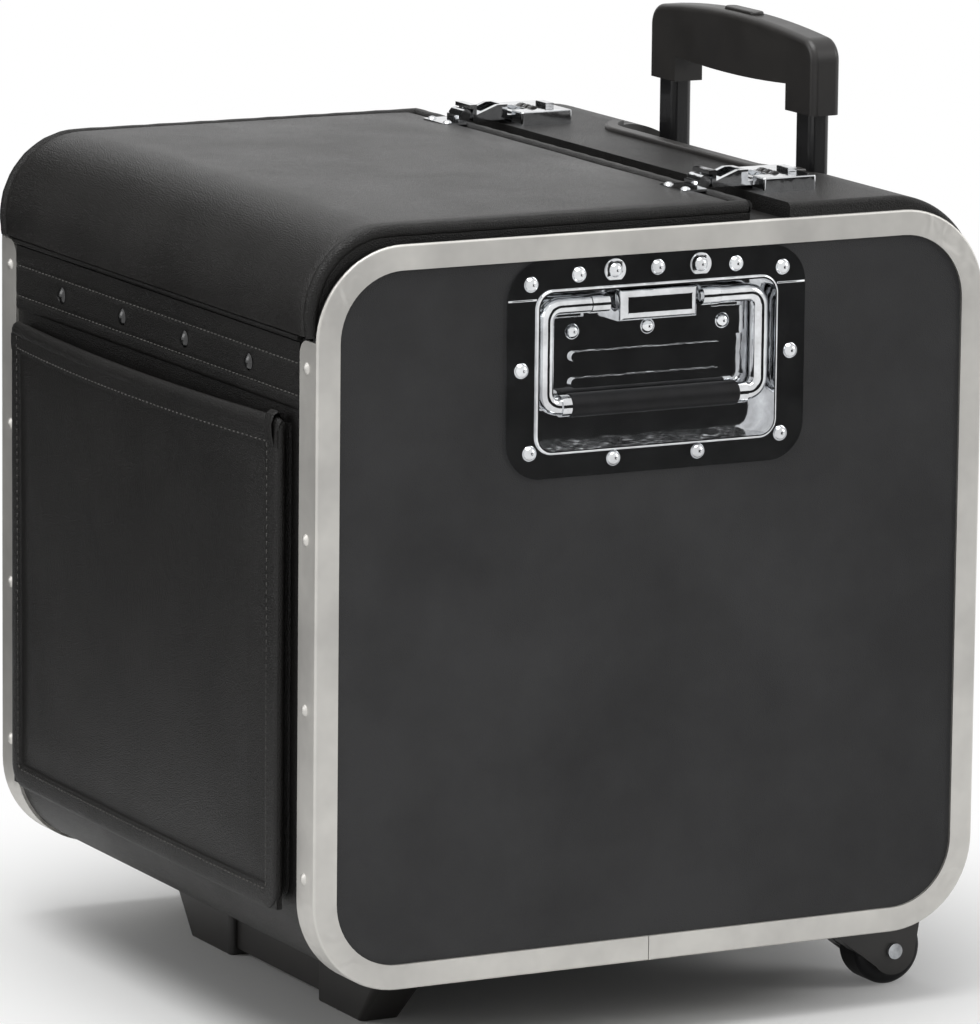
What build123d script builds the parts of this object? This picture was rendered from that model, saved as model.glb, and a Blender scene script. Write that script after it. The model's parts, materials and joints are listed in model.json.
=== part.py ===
from build123d import *
import os
from math import asin, atan2, cos, degrees, pi, sin, sqrt

os.makedirs("parts", exist_ok=True)

# Case body, in millimetres. X runs along the hinge, Y from front to rear, Z up from the floor.
CASE_W = 385.0
CASE_D = 385.0
CASE_H = 382.0
CORNER_R = 48.0
GROUND = 40.5
WALL_T = 4.8
PANEL_T = 6.0

# Aluminium frame round each end
FRAME_T = 1.6
FRAME_EDGE_R = 1.2
BAND_W = 13.0
FLANGE_W = 19.5
FLANGE_END_R = 8.0
SEAM_GAP = 0.4
RIVET_INSET = 11.7
RIVET_PITCH = 87.0
RIVET_LOWEST = 60.0
RIVET_ROWS = 4
RIVET_HEAD_R = 3.2
RIVET_HEAD_H = 1.5
RIVET_SHANK_R = 1.6
BOTTOM_RIVET_PITCH = 70.0

# Front hinge line, hinge strip and its rivets
HINGE_H = 335.0
STRIP_T = 1.5
STRIP_H = 37.0
BEAD_R = 1.5
STRIP_RIVET_PITCH = 76.0
STRIP_RIVET_DROP = 21.0
STRIP_RIVET_HEAD_R = 4.5
STRIP_RIVET_HEAD_H = 2.0
STRIP_RIVET_SHANK_R = 1.8

# Lid
LID_RISE = 9.0
LID_UNDER_GAP = 0.6
LID_HALF_W = 185.0
LID_CORNER_R = 44.0
LID_FOOT_OUT = 2.0
LID_FOOT_GAP = 0.5
LID_REAR = 54.0
BIND_T = 4.0
BIND_LIP = 0.8
BIND_ROUND = 1.6

# Rear top deck
DECK_RISE = 7.5
DECK_FRONT = 77.0
DECK_CORNER_R = 54.0
DECK_END_R = 3.0
LEDGE_FRONT = 42.0
LEDGE_DROP = 0.3
DECK_JOINT_DROP = 52.0

# Trolley recess and tray
TRAY_HALF_W = 104.0
TRAY_FRONT = 120.0
TRAY_CORNER_R = 32.0
TRAY_FLOOR_H = 360.0
TRAY_T = 3.0
TRAY_RIM_W = 4.0
TRAY_RIM_H = 2.5
TRAY_RIM_END = 136.0

# Trolley tubes: width along X, depth along Y, wall
TUBE_PITCH = 150.0
TUBE_Y = 156.0
INNER_W = 17.0
INNER_D = 12.0
TUBE_WALL = 1.2
TUBE_GAP = 0.2
TUBE_ROUND = 3.0
GRIP_BOTTOM_H = 417.0
GRIP_TOP_H = 456.0
GRIP_CROWN = 6.0
GRIP_BEAM_H = 25.0
GRIP_D = 17.0
SOCKET_W = 29.0
GRIP_ROUND = 3.5
GRIP_CORNER_R = 12.0
GRIP_BELLY = 2.0
INNER_L = 338.0
MIDDLE_L = 336.0
BASE_T = 15.0
BASE_D = 24.0
BASE_SOCKET_H = 18.0
BASE_SOCKET_WALL = 3.0
BUTTON_W = 34.0
BUTTON_D = 8.0
BUTTON_PROUD = 1.6
BUTTON_DEPTH = 7.0
BUTTON_TRAVEL = 3.0
BUTTON_GAP = 0.25

# Inside boards
COVER_T = 3.0
COVER_Y = 139.0
FLOOR_BOARD_T = 3.0
BOARD_GAP = 0.3

# Front pocket
POCKET_HALF_W = 163.0
POCKET_LOW = 40.0
POCKET_TOP = 290.0
POCKET_STANDOFF = 4.6
POCKET_T = 3.0
POCKET_BOW_TOP = 9.0
POCKET_BOW_LOW = 1.5
POCKET_BIND_T = 1.0
POCKET_BIND_W = 12.0
POCKET_ROLL_H = 4.0
GUSSET_T = 2.0
GUSSET_INSET = 2.0

# Recessed end handle
PLATE_HALF_W = 86.0
PLATE_LOW = 257.0
PLATE_TOP = 368.6
PLATE_R = 20.0
PLATE_T = 1.2
DISH_HALF_W = 68.0
DISH_LOW = 271.0
DISH_TOP = 352.0
DISH_R = 8.0
DISH_DEPTH = 12.0
DISH_RIM_W = 1.8
DISH_RIM_H = 1.5
RIB_HALF_W = 44.0
RIB_W = 5.0
RIB_H = 2.2
RIB_LEVELS = (303.0, 316.5)
PLATE_RIVETS = (
    (72.6, 270.7), (24.4, 265.0), (77.7, 313.4), (72.6, 357.0), (45.3, 360.5), (24.7, 361.5),
)
PLATE_CENTRE_RIVET = 361.5
PLATE_RIVET_HEAD_R = 4.0
PLATE_RIVET_HEAD_H = 3.0
PLATE_RIVET_SHANK_R = 2.2

# Bail, pivot and grip sleeve of the end handle
BAIL_PIVOT_H = 344.5
BAIL_DROP = 51.5
BAIL_HALF_W = 62.0
BAIL_WIRE_R = 4.6
BAIL_BEND_R = 7.5
BAIL_OFF_FLOOR = 7.3
BAIL_PIN_R = 3.0
BAIL_PIN_END = 26.0
BAIL_SIDE_GAP = 0.3
FERRULE_R = 5.6
FERRULE_L = 5.0
SLEEVE_HALF_L = 48.5
SLEEVE_R = 6.2
KNUCKLE_NEAR = 27.0
KNUCKLE_FAR = 37.0
KNUCKLE_R = 5.0
PIN_GAP = 0.05
BRACKET_T = 1.5
BRACKET_HALF_W = 55.0
BRACKET_LOW = 322.5
BRACKET_TOP = 337.0
BRACKET_RIVET_H = 329.7
BRACKET_RIVET_PITCH = 43.4
BRACKET_RIVET_SHANK = 2.0
HOOD_HALF_W = 22.5
HOOD_LOW = 335.0
HOOD_TOP = 351.4
HOOD_OUT = 15.2
HOOD_R = 4.5
SPRING_R = 4.0
SPRING_WIRE_R = 0.7
SPRING_TURNS = 8
SPRING_GAP = 0.3
SPRING_END_GAP = 2.0

# Locks
LOCK_X = 134.0
LOCK_W = 42.0
LOCK_FRONT = 82.0
LOCK_L = 31.0
LOCK_H = 7.5
LOCK_ROUND = 1.4
NOTCH_W = 18.0
NOTCH_L = 9.0
HASP_W = 17.0
HASP_T = 2.2
HASP_L = 22.0
HASP_BARREL_R = 2.6
HASP_PIN_R = 1.3
HASP_PIVOT_H = 3.6
HASP_TAB_H = 7.0
HASP_TAB_SETBACK = 2.5
HASP_TAB_LEAN = 6.0
HASP_RIM = 3.0
HASP_WINDOW_FRONT = 4.0
CATCH_W = 26.0
CATCH_L = 15.0
CATCH_T = 1.2
CATCH_POST_R = 3.2
CATCH_POST_W = 14.0
CATCH_RIVET_R = 2.6
CATCH_RIVET_H = 1.4
CATCH_RIVET_SHANK = 1.2
CATCH_RIVET_INSET = 4.0
CATCH_POST_T = 3.0
CATCH_CORNER_R = 2.0
DIAL_R = 4.0
DIAL_W = 3.6
DIAL_PITCH = 6.0
DIAL_PROUD = 1.2
DIAL_BORE_R = 1.2
DIAL_BEVEL = 0.4
PIN_INSET = 2.0
DIAL_GAP = 0.3
DIAL_SETBACK = 14.0
SLIDER_W = 12.0
SLIDER_L = 5.0
SLIDER_H = 2.2
SLIDER_SETBACK = 25.0
SLIDER_TRAVEL = 5.0

# Rear wheels
WHEEL_X = 140.0
WHEEL_Y = 168.5
WHEEL_R = 19.5
WHEEL_W = 22.0
WHEEL_ROUND = 4.0
HUB_R = 11.0
HUB_DISH = 2.0
HUB_BOSS = 2.0
AXLE_R = 3.0
AXLE_HEAD_R = 4.2
AXLE_HEAD_T = 1.8
CHEEK_T = 4.0
CHEEK_GAP = 0.8
CHEEK_R = 13.0
HOUSING_FRONT = 37.0
HOUSING_REAR = 16.0
HOUSING_PLATE_T = 4.0
HOUSING_WHEEL_GAP = 2.0
HOUSING_CROWN_GAP = 0.7
HOUSING_FRONT_DROP = 6.0
HOUSING_SCREWS = (6.0, 14.0)

# Front feet
FOOT_X = 77.5
FOOT_W = 50.0
FOOT_FLARE = 34.0
FOOT_FRONT = -121.0
FOOT_L = 23.0
FOOT_SLOPE = 9.0
FOOT_ROUND = 3.0
BAR_H = 38.0
BAR_L = 14.0
BAR_SETBACK = 4.0
BAR_BITE = 2.0
SCREW_HEAD_R = 3.5
SCREW_HEAD_H = 1.6
SCREW_SHANK_R = 1.9
SCREW_GRIP = 5.0

# Everything stands on the floor with the middle of the overall length at Y = 0.
FRONT_REACH = POCKET_STANDOFF + POCKET_T + POCKET_BOW_TOP + POCKET_BIND_T - FRAME_T
CASE_Y = (FRONT_REACH - RIVET_HEAD_H) / 2
FRONT = CASE_Y - CASE_D / 2
REAR = CASE_Y + CASE_D / 2
TOP = GROUND + CASE_H
CASE_MID_Z = GROUND + CASE_H / 2
END_X = CASE_W / 2
PANEL_X = END_X - FRAME_T
WALL_IN = FRAME_T + WALL_T
WALL_FACE = FRONT + FRAME_T
HINGE_Z = GROUND + HINGE_H
SEAT_Z = GROUND + FRAME_T
HINGE_Y = WALL_FACE - STRIP_T
DECK_TOP = TOP + DECK_RISE
LID_REAR_Y = CASE_Y + LID_REAR
RIGHT_LEFT = ((1, "right"), (-1, "left"))


def save(part, name):
    """Label a finished piece and write it under its name."""
    part.label = name
    export_step(part, f"parts/{name}.step")


def save_pair(part, name):
    """Write a piece of the right end and its mirror image at the left end."""
    save(part, f"{name}_right")
    save(mirror(part, about=Plane.YZ), f"{name}_left")


def outline(inset, mode=Mode.ADD):
    """Rounded outline of the case seen from its end, set in from the frame's outer edge."""
    with Locations((CASE_Y, CASE_MID_Z)):
        RectangleRounded(CASE_D - 2 * inset, CASE_H - 2 * inset, CORNER_R - inset, mode=mode)


def window(low, high, mode=Mode.INTERSECT):
    """Rectangle between two corners of the sketch."""
    with Locations(((low[0] + high[0]) / 2, (low[1] + high[1]) / 2)):
        Rectangle(high[0] - low[0], high[1] - low[1], mode=mode)


def block(low, high, mode=Mode.ADD):
    """Box between two corners of the part."""
    size = [high[i] - low[i] for i in range(3)]
    with Locations(tuple((low[i] + high[i]) / 2 for i in range(3))):
        Box(*size, mode=mode)


def rod(start, end, radius, mode=Mode.ADD):
    """Cylinder from one point to another, along one axis."""
    along = Vector(*end) - Vector(*start)
    with Locations(Plane(origin=start, z_dir=along)):
        Cylinder(radius, along.length, align=(Align.CENTER, Align.CENTER, Align.MIN), mode=mode)


def rivet(head_r, head_h, shank_r, shank_l):
    """Domed rivet standing on Z = 0 with its shank below."""
    dome_r = (head_r * head_r + head_h * head_h) / (2 * head_h)
    half_way = atan2(head_r, dome_r - head_h) / 2
    shoulder = (dome_r * sin(half_way), head_h - dome_r + dome_r * cos(half_way))
    with BuildPart() as piece:
        with BuildSketch(Plane.XZ):
            with BuildLine():
                Polyline((0, head_h), (0, -shank_l), (shank_r, -shank_l), (shank_r, 0), (head_r, 0))
                ThreePointArc((head_r, 0), shoulder, (0, head_h))
            make_face()
        revolve(axis=Axis.Z)
    return piece.part


def group(piece, planes):
    """Copies of one piece, one on each plane."""
    with BuildPart() as copies:
        with Locations(*planes):
            add(piece)
    return copies.part


# Case boards

FLANGE_RIVET_X = END_X - RIVET_INSET
FLANGE_RIVET_Z = [GROUND + RIVET_LOWEST + i * RIVET_PITCH for i in range(RIVET_ROWS)]
BOTTOM_RIVET_Y = [CASE_Y + (i - 1.5) * BOTTOM_RIVET_PITCH for i in range(4)]


def flange_holes():
    """Rivet holes through the front, rear and bottom of the case at both ends."""
    reach = CASE_D / 2 + 5
    for side in (1, -1):
        x = side * FLANGE_RIVET_X
        for z in FLANGE_RIVET_Z:
            rod((x, CASE_Y - reach, z), (x, CASE_Y + reach, z), RIVET_SHANK_R, Mode.SUBTRACT)
        for y in BOTTOM_RIVET_Y:
            rod((x, y, GROUND - 5), (x, y, GROUND + WALL_IN + 5), RIVET_SHANK_R, Mode.SUBTRACT)


def board(low, high):
    """Part of the wall round the case that lies in a window of the end view."""
    with BuildPart() as piece:
        with BuildSketch(Plane.YZ.offset(-PANEL_X)):
            outline(FRAME_T)
            outline(WALL_IN, Mode.SUBTRACT)
            window(low, high)
        extrude(amount=2 * PANEL_X)
        flange_holes()
    return piece.part


corner_z = GROUND + CORNER_R
front_wall = board((FRONT, corner_z), (FRONT + CORNER_R, HINGE_Z))
STRIP_RIVET_X = [(i - 1.5) * STRIP_RIVET_PITCH for i in range(4)]
strip_rivet_z = HINGE_Z - STRIP_RIVET_DROP
with BuildPart() as front_board:
    add(front_wall)
    for x in STRIP_RIVET_X:
        rod((x, FRONT - 5, strip_rivet_z), (x, FRONT + 20, strip_rivet_z), STRIP_RIVET_SHANK_R, Mode.SUBTRACT)
save(front_board.part, "front_wall")

deck_joint_z = TOP - DECK_JOINT_DROP
save(board((REAR - CORNER_R, corner_z), (REAR, deck_joint_z)), "rear_wall")

foot_screws = [(side * FOOT_X, CASE_Y + FOOT_FRONT + FOOT_L / 2) for side in (1, -1)]
wheel_screws = [
    (side * WHEEL_X, CASE_Y + WHEEL_Y - HOUSING_FRONT + dy) for side in (1, -1) for dy in HOUSING_SCREWS
]
base_screws = [(side * TUBE_PITCH / 4, CASE_Y + TUBE_Y) for side in (1, -1)]
with BuildPart() as bottom_board:
    add(board((FRONT, GROUND), (REAR, corner_z)))
    for x, y in foot_screws + wheel_screws + base_screws:
        rod((x, y, GROUND - 1), (x, y, GROUND + 2 * WALL_IN), SCREW_SHANK_R, Mode.SUBTRACT)
save(bottom_board.part, "bottom_panel")

# Rear top deck

deck_front_y = CASE_Y + DECK_FRONT
ledge_front_y = CASE_Y + LEDGE_FRONT
ledge_top = TOP - FRAME_T + LID_UNDER_GAP - LEDGE_DROP
tray_front_y = CASE_Y + TRAY_FRONT
tray_floor_z = GROUND + TRAY_FLOOR_H
rear_face = REAR - FRAME_T


def tray_outline(inset, mode=Mode.ADD):
    """Plan of the trolley recess, rounded at the front and open at the rear."""
    depth = 2 * (REAR + 20 - tray_front_y - inset)
    with Locations((0, REAR + 20)):
        RectangleRounded(2 * (TRAY_HALF_W - inset), depth, TRAY_CORNER_R - inset, mode=mode)


def deck_envelope(rise, mode=Mode.INTERSECT):
    """End view of all that lies below the deck's top, raised by a small amount."""
    with Locations((CASE_Y, (TOP + DECK_RISE + rise) / 2)):
        RectangleRounded(2 * (rear_face - CASE_Y), TOP + DECK_RISE + rise, DECK_CORNER_R, mode=mode)


with BuildPart() as deck:
    with BuildSketch(Plane.YZ.offset(-PANEL_X)):
        deck_envelope(0, Mode.ADD)
        window((deck_front_y, deck_joint_z), (REAR, TOP + 50))
        outline(WALL_IN, Mode.SUBTRACT)
    extrude(amount=2 * PANEL_X)
    end_edges = [e for f in deck.faces().filter_by(Axis.X) for e in f.edges()]
    top_edges = [e for e in end_edges if e.center().Z > TOP + 1]
    round_edges = [e for e in end_edges if e.geom_type == GeomType.CIRCLE]
    bend_edges = [e for e in round_edges if abs(e.radius - DECK_CORNER_R) < 0.1]
    rear_edges = [e for e in end_edges if abs(e.center().Y - rear_face) < 0.1]
    fillet(ShapeList(top_edges + bend_edges + rear_edges), DECK_END_R)
    block((-PANEL_X, ledge_front_y, TOP - WALL_IN), (PANEL_X, deck_front_y, ledge_top))
    with BuildSketch(Plane.XY.offset(tray_floor_z)):
        tray_outline(0)
    extrude(amount=CASE_H, mode=Mode.SUBTRACT)
save(deck.part, "rear_top_deck")

# End panels

def dish_outline(grow, mode=Mode.ADD):
    """Mouth of the handle dish in the end view, grown all round."""
    with Locations((CASE_Y, GROUND + (DISH_LOW + DISH_TOP) / 2)):
        RectangleRounded(
            2 * (DISH_HALF_W + grow), DISH_TOP - DISH_LOW + 2 * grow, DISH_R + grow, mode=mode
        )


plate_rivet_points = [(s * y, z) for y, z in PLATE_RIVETS for s in (1, -1)] + [(0, PLATE_CENTRE_RIVET)]


def plate_rivet_holes():
    """Holes for the rivets that hold the dish plate to the end panel."""
    for y, z in plate_rivet_points:
        start = (PANEL_X - PANEL_T - 1, CASE_Y + y, GROUND + z)
        rod(start, (END_X + 3, start[1], start[2]), PLATE_RIVET_SHANK_R, Mode.SUBTRACT)


with BuildPart() as end_panel:
    with BuildSketch(Plane.YZ.offset(PANEL_X - PANEL_T)):
        outline(FRAME_T)
        window((FRONT, HINGE_Z), (ledge_front_y, TOP))
        outline(WALL_IN)
        dish_outline(PLATE_T, Mode.SUBTRACT)
    extrude(amount=PANEL_T)
    plate_rivet_holes()
save_pair(end_panel.part, "end_panel")

# Aluminium frames

with BuildPart() as frame:
    with BuildSketch(Plane.YZ.offset(END_X - FLANGE_W)):
        outline(0)
        outline(FRAME_T, Mode.SUBTRACT)
    extrude(amount=FLANGE_W)
    with BuildSketch(Plane.YZ.offset(PANEL_X)):
        outline(FRAME_T)
        outline(BAND_W, Mode.SUBTRACT)
    extrude(amount=FRAME_T)
    fillet(frame.faces().sort_by(Axis.X)[-1].outer_wire().edges(), FRAME_EDGE_R)
    block((END_X - FLANGE_W - 1, FRONT - 1, HINGE_Z), (PANEL_X, REAR + 1, TOP + 1), Mode.SUBTRACT)
    flange_ends = [
        e
        for e in frame.edges().filter_by(Axis.Y)
        if abs(e.center().X - (END_X - FLANGE_W)) < 0.01 and abs(e.center().Z - HINGE_Z) < 0.01
    ]
    fillet(flange_ends, FLANGE_END_R)
    seam = SEAM_GAP / 2
    block((0, CASE_Y - seam, GROUND - 1), (END_X + 1, CASE_Y + seam, GROUND + BAND_W + 1), Mode.SUBTRACT)
    flange_holes()
save_pair(frame.part, "frame")

shank = FRAME_T + WALL_T
frame_rivet = rivet(RIVET_HEAD_R, RIVET_HEAD_H, RIVET_SHANK_R, shank)
frame_rivet_planes = []
for side in (1, -1):
    x = side * FLANGE_RIVET_X
    for z in FLANGE_RIVET_Z:
        frame_rivet_planes.append(Plane(origin=(x, FRONT, z), z_dir=(0, -1, 0)))
        frame_rivet_planes.append(Plane(origin=(x, REAR, z), z_dir=(0, 1, 0)))
    for y in BOTTOM_RIVET_Y:
        frame_rivet_planes.append(Plane(origin=(x, y, GROUND), z_dir=(0, 0, -1)))
save(group(frame_rivet, frame_rivet_planes), "frame_rivets")

# Hinge strip with the bead that the lid turns about

strip_half_w = END_X - FLANGE_W - BOARD_GAP
with BuildPart() as strip:
    block(
        (-strip_half_w, WALL_FACE - STRIP_T, HINGE_Z - STRIP_H),
        (strip_half_w, WALL_FACE, HINGE_Z - BEAD_R * 0.6),
    )
    rod((-strip_half_w, HINGE_Y, HINGE_Z), (strip_half_w, HINGE_Y, HINGE_Z), BEAD_R)
    for x in STRIP_RIVET_X:
        rod((x, FRONT - 5, strip_rivet_z), (x, FRONT + 20, strip_rivet_z), STRIP_RIVET_SHANK_R, Mode.SUBTRACT)
save(strip.part, "hinge_strip")

strip_rivet = rivet(STRIP_RIVET_HEAD_R, STRIP_RIVET_HEAD_H, STRIP_RIVET_SHANK_R, STRIP_T + WALL_T)
strip_planes = [Plane(origin=(x, HINGE_Y, strip_rivet_z), z_dir=(0, -1, 0)) for x in STRIP_RIVET_X]
save(group(strip_rivet, strip_planes), "hinge_strip_rivets")

# Lid

lid_top = TOP + LID_RISE
lid_foot_z = HINGE_Z + BEAD_R + LID_FOOT_GAP
lid_under = TOP - FRAME_T + LID_UNDER_GAP
lid_inner_r = CORNER_R - FRAME_T + LID_UNDER_GAP


def lid_slab(x_low, x_high, grow, rear_y):
    """Length of the lid's end view: slanted front, round corner, flat top, hollow below."""
    top = lid_top + grow
    foot_out = FRONT - LID_FOOT_OUT - grow
    bend = (FRONT + CORNER_R, TOP - CORNER_R)
    sweep_angle = 90 - degrees(asin((lid_foot_z - bend[1]) / lid_inner_r))
    with BuildPart() as slab:
        with BuildSketch(Plane.YZ.offset(x_low)):
            with BuildLine():
                FilletPolyline(
                    (foot_out, lid_foot_z), (FRONT - LID_RISE - grow, top), (rear_y, top), radius=LID_CORNER_R
                )
                Polyline((rear_y, top), (rear_y, lid_under), (bend[0], lid_under))
                inner_arc = CenterArc(bend, lid_inner_r, 90, sweep_angle)
                Line(inner_arc @ 1, (foot_out, lid_foot_z))
            make_face()
        extrude(amount=x_high - x_low)
    return slab.part


save(lid_slab(-LID_HALF_W, LID_HALF_W, 0, LID_REAR_Y), "lid_panel")

bind_x = LID_HALF_W + BIND_T
with BuildPart() as binding:
    for side in (1, -1):
        low, high = sorted((side * LID_HALF_W, side * bind_x))
        add(lid_slab(low, high, BIND_LIP, LID_REAR_Y))
    block((-bind_x, LID_REAR_Y, lid_under), (bind_x, LID_REAR_Y + BIND_T, lid_top + BIND_LIP))
    outer_ends = [
        e
        for f in binding.faces().filter_by(Axis.X)
        if abs(abs(f.center().X) - bind_x) < 0.01
        for e in f.edges()
        if e.center().Z > lid_foot_z + 1
    ]
    rear_long = binding.edges().filter_by(Axis.X).sort_by(Axis.Y)[-2:]
    fillet(ShapeList(outer_ends + list(rear_long)), BIND_ROUND)
save(binding.part, "lid_binding")

# Rear deck's fittings: trolley tray

tube_w = [INNER_W + i * 2 * (TUBE_WALL + TUBE_GAP) for i in range(3)]
tube_d = [INNER_D + i * 2 * (TUBE_WALL + TUBE_GAP) for i in range(3)]
TUBE_PLACES = [(side * TUBE_PITCH / 2, CASE_Y + TUBE_Y) for side in (1, -1)]

with BuildPart() as tray:
    with BuildSketch(Plane.XY.offset(tray_floor_z)):
        tray_outline(0)
    extrude(amount=CASE_H)
    with BuildSketch(Plane.YZ.offset(-PANEL_X)):
        deck_envelope(0, Mode.ADD)
    extrude(amount=2 * PANEL_X, mode=Mode.INTERSECT)
    with BuildSketch(Plane.XY.offset(DECK_TOP)):
        tray_outline(-TRAY_RIM_W)
        window((-CASE_W, 0), (CASE_W, CASE_Y + TRAY_RIM_END))
    extrude(amount=TRAY_RIM_H)
    rim_edges = tray.faces().sort_by(Axis.Z)[-1].outer_wire().edges()
    fillet(rim_edges.filter_by(Axis.X, reverse=True), TRAY_RIM_H * 0.6)
    with BuildSketch(Plane.XY.offset(tray_floor_z + TRAY_T)):
        tray_outline(TRAY_T)
    extrude(amount=CASE_H, mode=Mode.SUBTRACT)
    with BuildSketch(Plane.XY.offset(tray_floor_z - 1)):
        with Locations(*TUBE_PLACES):
            RectangleRounded(tube_w[1] + 2 * TUBE_GAP, tube_d[1] + 2 * TUBE_GAP, TUBE_ROUND)
    extrude(amount=TRAY_T + 2, mode=Mode.SUBTRACT)
save(tray.part, "trolley_tray")

# Trolley tubes


def tube(step, low, high):
    """One hollow tube of the telescope, on the right; step 0 is the innermost."""
    bore_w = tube_w[step] - 2 * TUBE_WALL
    bore_d = tube_d[step] - 2 * TUBE_WALL
    with BuildPart() as piece:
        with BuildSketch(Plane.XY.offset(low)):
            with Locations(TUBE_PLACES[0]):
                RectangleRounded(tube_w[step], tube_d[step], TUBE_ROUND)
                RectangleRounded(bore_w, bore_d, TUBE_ROUND - TUBE_WALL, mode=Mode.SUBTRACT)
        extrude(amount=high - low)
    return piece.part


grip_bottom_z = GROUND + GRIP_BOTTOM_H
inner_top = grip_bottom_z + GRIP_BEAM_H
base_z = GROUND + WALL_IN
middle_top = tray_floor_z + TRAY_T
save_pair(tube(0, inner_top - INNER_L, inner_top), "trolley_inner_tube")
save_pair(tube(1, middle_top - MIDDLE_L, middle_top), "trolley_middle_tube")
save_pair(tube(2, base_z + BASE_T, tray_floor_z), "trolley_outer_tube")

base_half_w = TUBE_PITCH / 2 + tube_w[2] / 2 + BASE_SOCKET_WALL
base_y = CASE_Y + TUBE_Y
base_top = base_z + BASE_T
with BuildPart() as base:
    block((-base_half_w, base_y - BASE_D / 2, base_z), (base_half_w, base_y + BASE_D / 2, base_top))
    with BuildSketch(Plane.YZ.offset(-PANEL_X)):
        outline(WALL_IN)
    extrude(amount=2 * PANEL_X, mode=Mode.INTERSECT)
    with BuildSketch(Plane.XY.offset(base_top)):
        with Locations(*TUBE_PLACES):
            Rectangle(tube_w[2] + 2 * BASE_SOCKET_WALL, tube_d[2] + 2 * BASE_SOCKET_WALL)
            RectangleRounded(tube_w[2], tube_d[2], TUBE_ROUND, mode=Mode.SUBTRACT)
    extrude(amount=BASE_SOCKET_H)
    for x, y in base_screws:
        rod((x, y, base_z - 1), (x, y, base_top + 1), SCREW_SHANK_R, Mode.SUBTRACT)
save(base.part, "trolley_base")

# Trolley grip and its button

grip_half_w = TUBE_PITCH / 2 + SOCKET_W / 2
grip_inner_x = TUBE_PITCH / 2 - SOCKET_W / 2
grip_top_z = GROUND + GRIP_TOP_H
grip_under_z = grip_top_z - GRIP_BEAM_H
grip_y = CASE_Y + TUBE_Y
crown_z = grip_top_z + GRIP_CROWN
under_left = (-grip_inner_x, grip_under_z)
under_right = (grip_inner_x, grip_under_z)
with BuildPart() as grip:
    with BuildSketch(Plane.XZ.offset(-grip_y - GRIP_D / 2)) as grip_face:
        with BuildLine():
            Polyline(
                (-grip_half_w, grip_top_z), (-grip_half_w, grip_bottom_z),
                (-grip_inner_x, grip_bottom_z), under_left,
            )
            ThreePointArc(under_left, (0, grip_under_z - GRIP_BELLY), under_right)
            Polyline(
                under_right, (grip_inner_x, grip_bottom_z),
                (grip_half_w, grip_bottom_z), (grip_half_w, grip_top_z),
            )
            ThreePointArc((grip_half_w, grip_top_z), (0, crown_z), (-grip_half_w, grip_top_z))
        make_face()
        fillet(grip_face.vertices().group_by(Axis.Y)[-1], GRIP_CORNER_R)
    extrude(amount=GRIP_D)
    face_edges = ShapeList(e for f in grip.faces().filter_by(Axis.Y) for e in f.edges())
    outer_edges = [
        e for e in face_edges if e.center().Z > grip_under_z + 3 or abs(e.center().X) > grip_half_w - 1
    ]
    fillet(ShapeList(outer_edges), GRIP_ROUND)
    with BuildSketch(Plane.XY.offset(grip_bottom_z)):
        with Locations(*TUBE_PLACES):
            RectangleRounded(INNER_W, INNER_D, TUBE_ROUND)
    extrude(amount=GRIP_BEAM_H, mode=Mode.SUBTRACT)
    with BuildSketch(Plane.XY.offset(crown_z - BUTTON_DEPTH - BUTTON_TRAVEL)):
        with Locations((0, grip_y)):
            SlotOverall(BUTTON_W + 2 * BUTTON_GAP, BUTTON_D + 2 * BUTTON_GAP)
    extrude(amount=CASE_H, mode=Mode.SUBTRACT)
save(grip.part, "trolley_grip")

with BuildPart() as button:
    with BuildSketch(Plane.XY.offset(crown_z - BUTTON_DEPTH)):
        with Locations((0, grip_y)):
            SlotOverall(BUTTON_W, BUTTON_D)
    extrude(amount=BUTTON_DEPTH + BUTTON_PROUD)
    fillet(button.faces().sort_by(Axis.Z)[-1].edges(), BUTTON_PROUD * 0.7)
save(button.part, "trolley_button")

# Boards inside the case

inside_x = PANEL_X - PANEL_T - BOARD_GAP
cover_y = CASE_Y + COVER_Y
with BuildPart() as cover:
    block((-inside_x, cover_y, base_z + BOARD_GAP), (inside_x, cover_y + COVER_T, tray_floor_z - BOARD_GAP))
save(cover.part, "trolley_cover")

floor_front = FRONT + CORNER_R
with BuildPart() as floor_board:
    block((-inside_x, floor_front, base_z), (inside_x, cover_y - BOARD_GAP, base_z + FLOOR_BOARD_T))
save(floor_board.part, "floor_board")

# Front pocket


def pocket_sheet(low_z, high_z, back, front, half_w=POCKET_HALF_W):
    """Bowed sheet standing off the front wall; the bow grows towards the pocket's top."""
    span = POCKET_TOP - POCKET_LOW
    with BuildPart() as sheet:
        for z in (low_z, high_z):
            share = (z - GROUND - POCKET_LOW) / span
            bow = POCKET_BOW_LOW + (POCKET_BOW_TOP - POCKET_BOW_LOW) * share
            rear_y = WALL_FACE - back
            face_y = WALL_FACE - front
            with BuildSketch(Plane.XY.offset(z)):
                with BuildLine():
                    Line((-half_w, rear_y), (-half_w, face_y))
                    ThreePointArc((-half_w, face_y), (0, face_y - bow), (half_w, face_y))
                    Line((half_w, face_y), (half_w, rear_y))
                    ThreePointArc((half_w, rear_y), (0, rear_y - bow), (-half_w, rear_y))
                make_face()
        loft(ruled=True)
    return sheet.part


pocket_low_z = GROUND + POCKET_LOW
pocket_top_z = GROUND + POCKET_TOP
pocket_front = POCKET_STANDOFF + POCKET_T
save(pocket_sheet(pocket_low_z, pocket_top_z, POCKET_STANDOFF, pocket_front), "pocket_panel")

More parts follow.
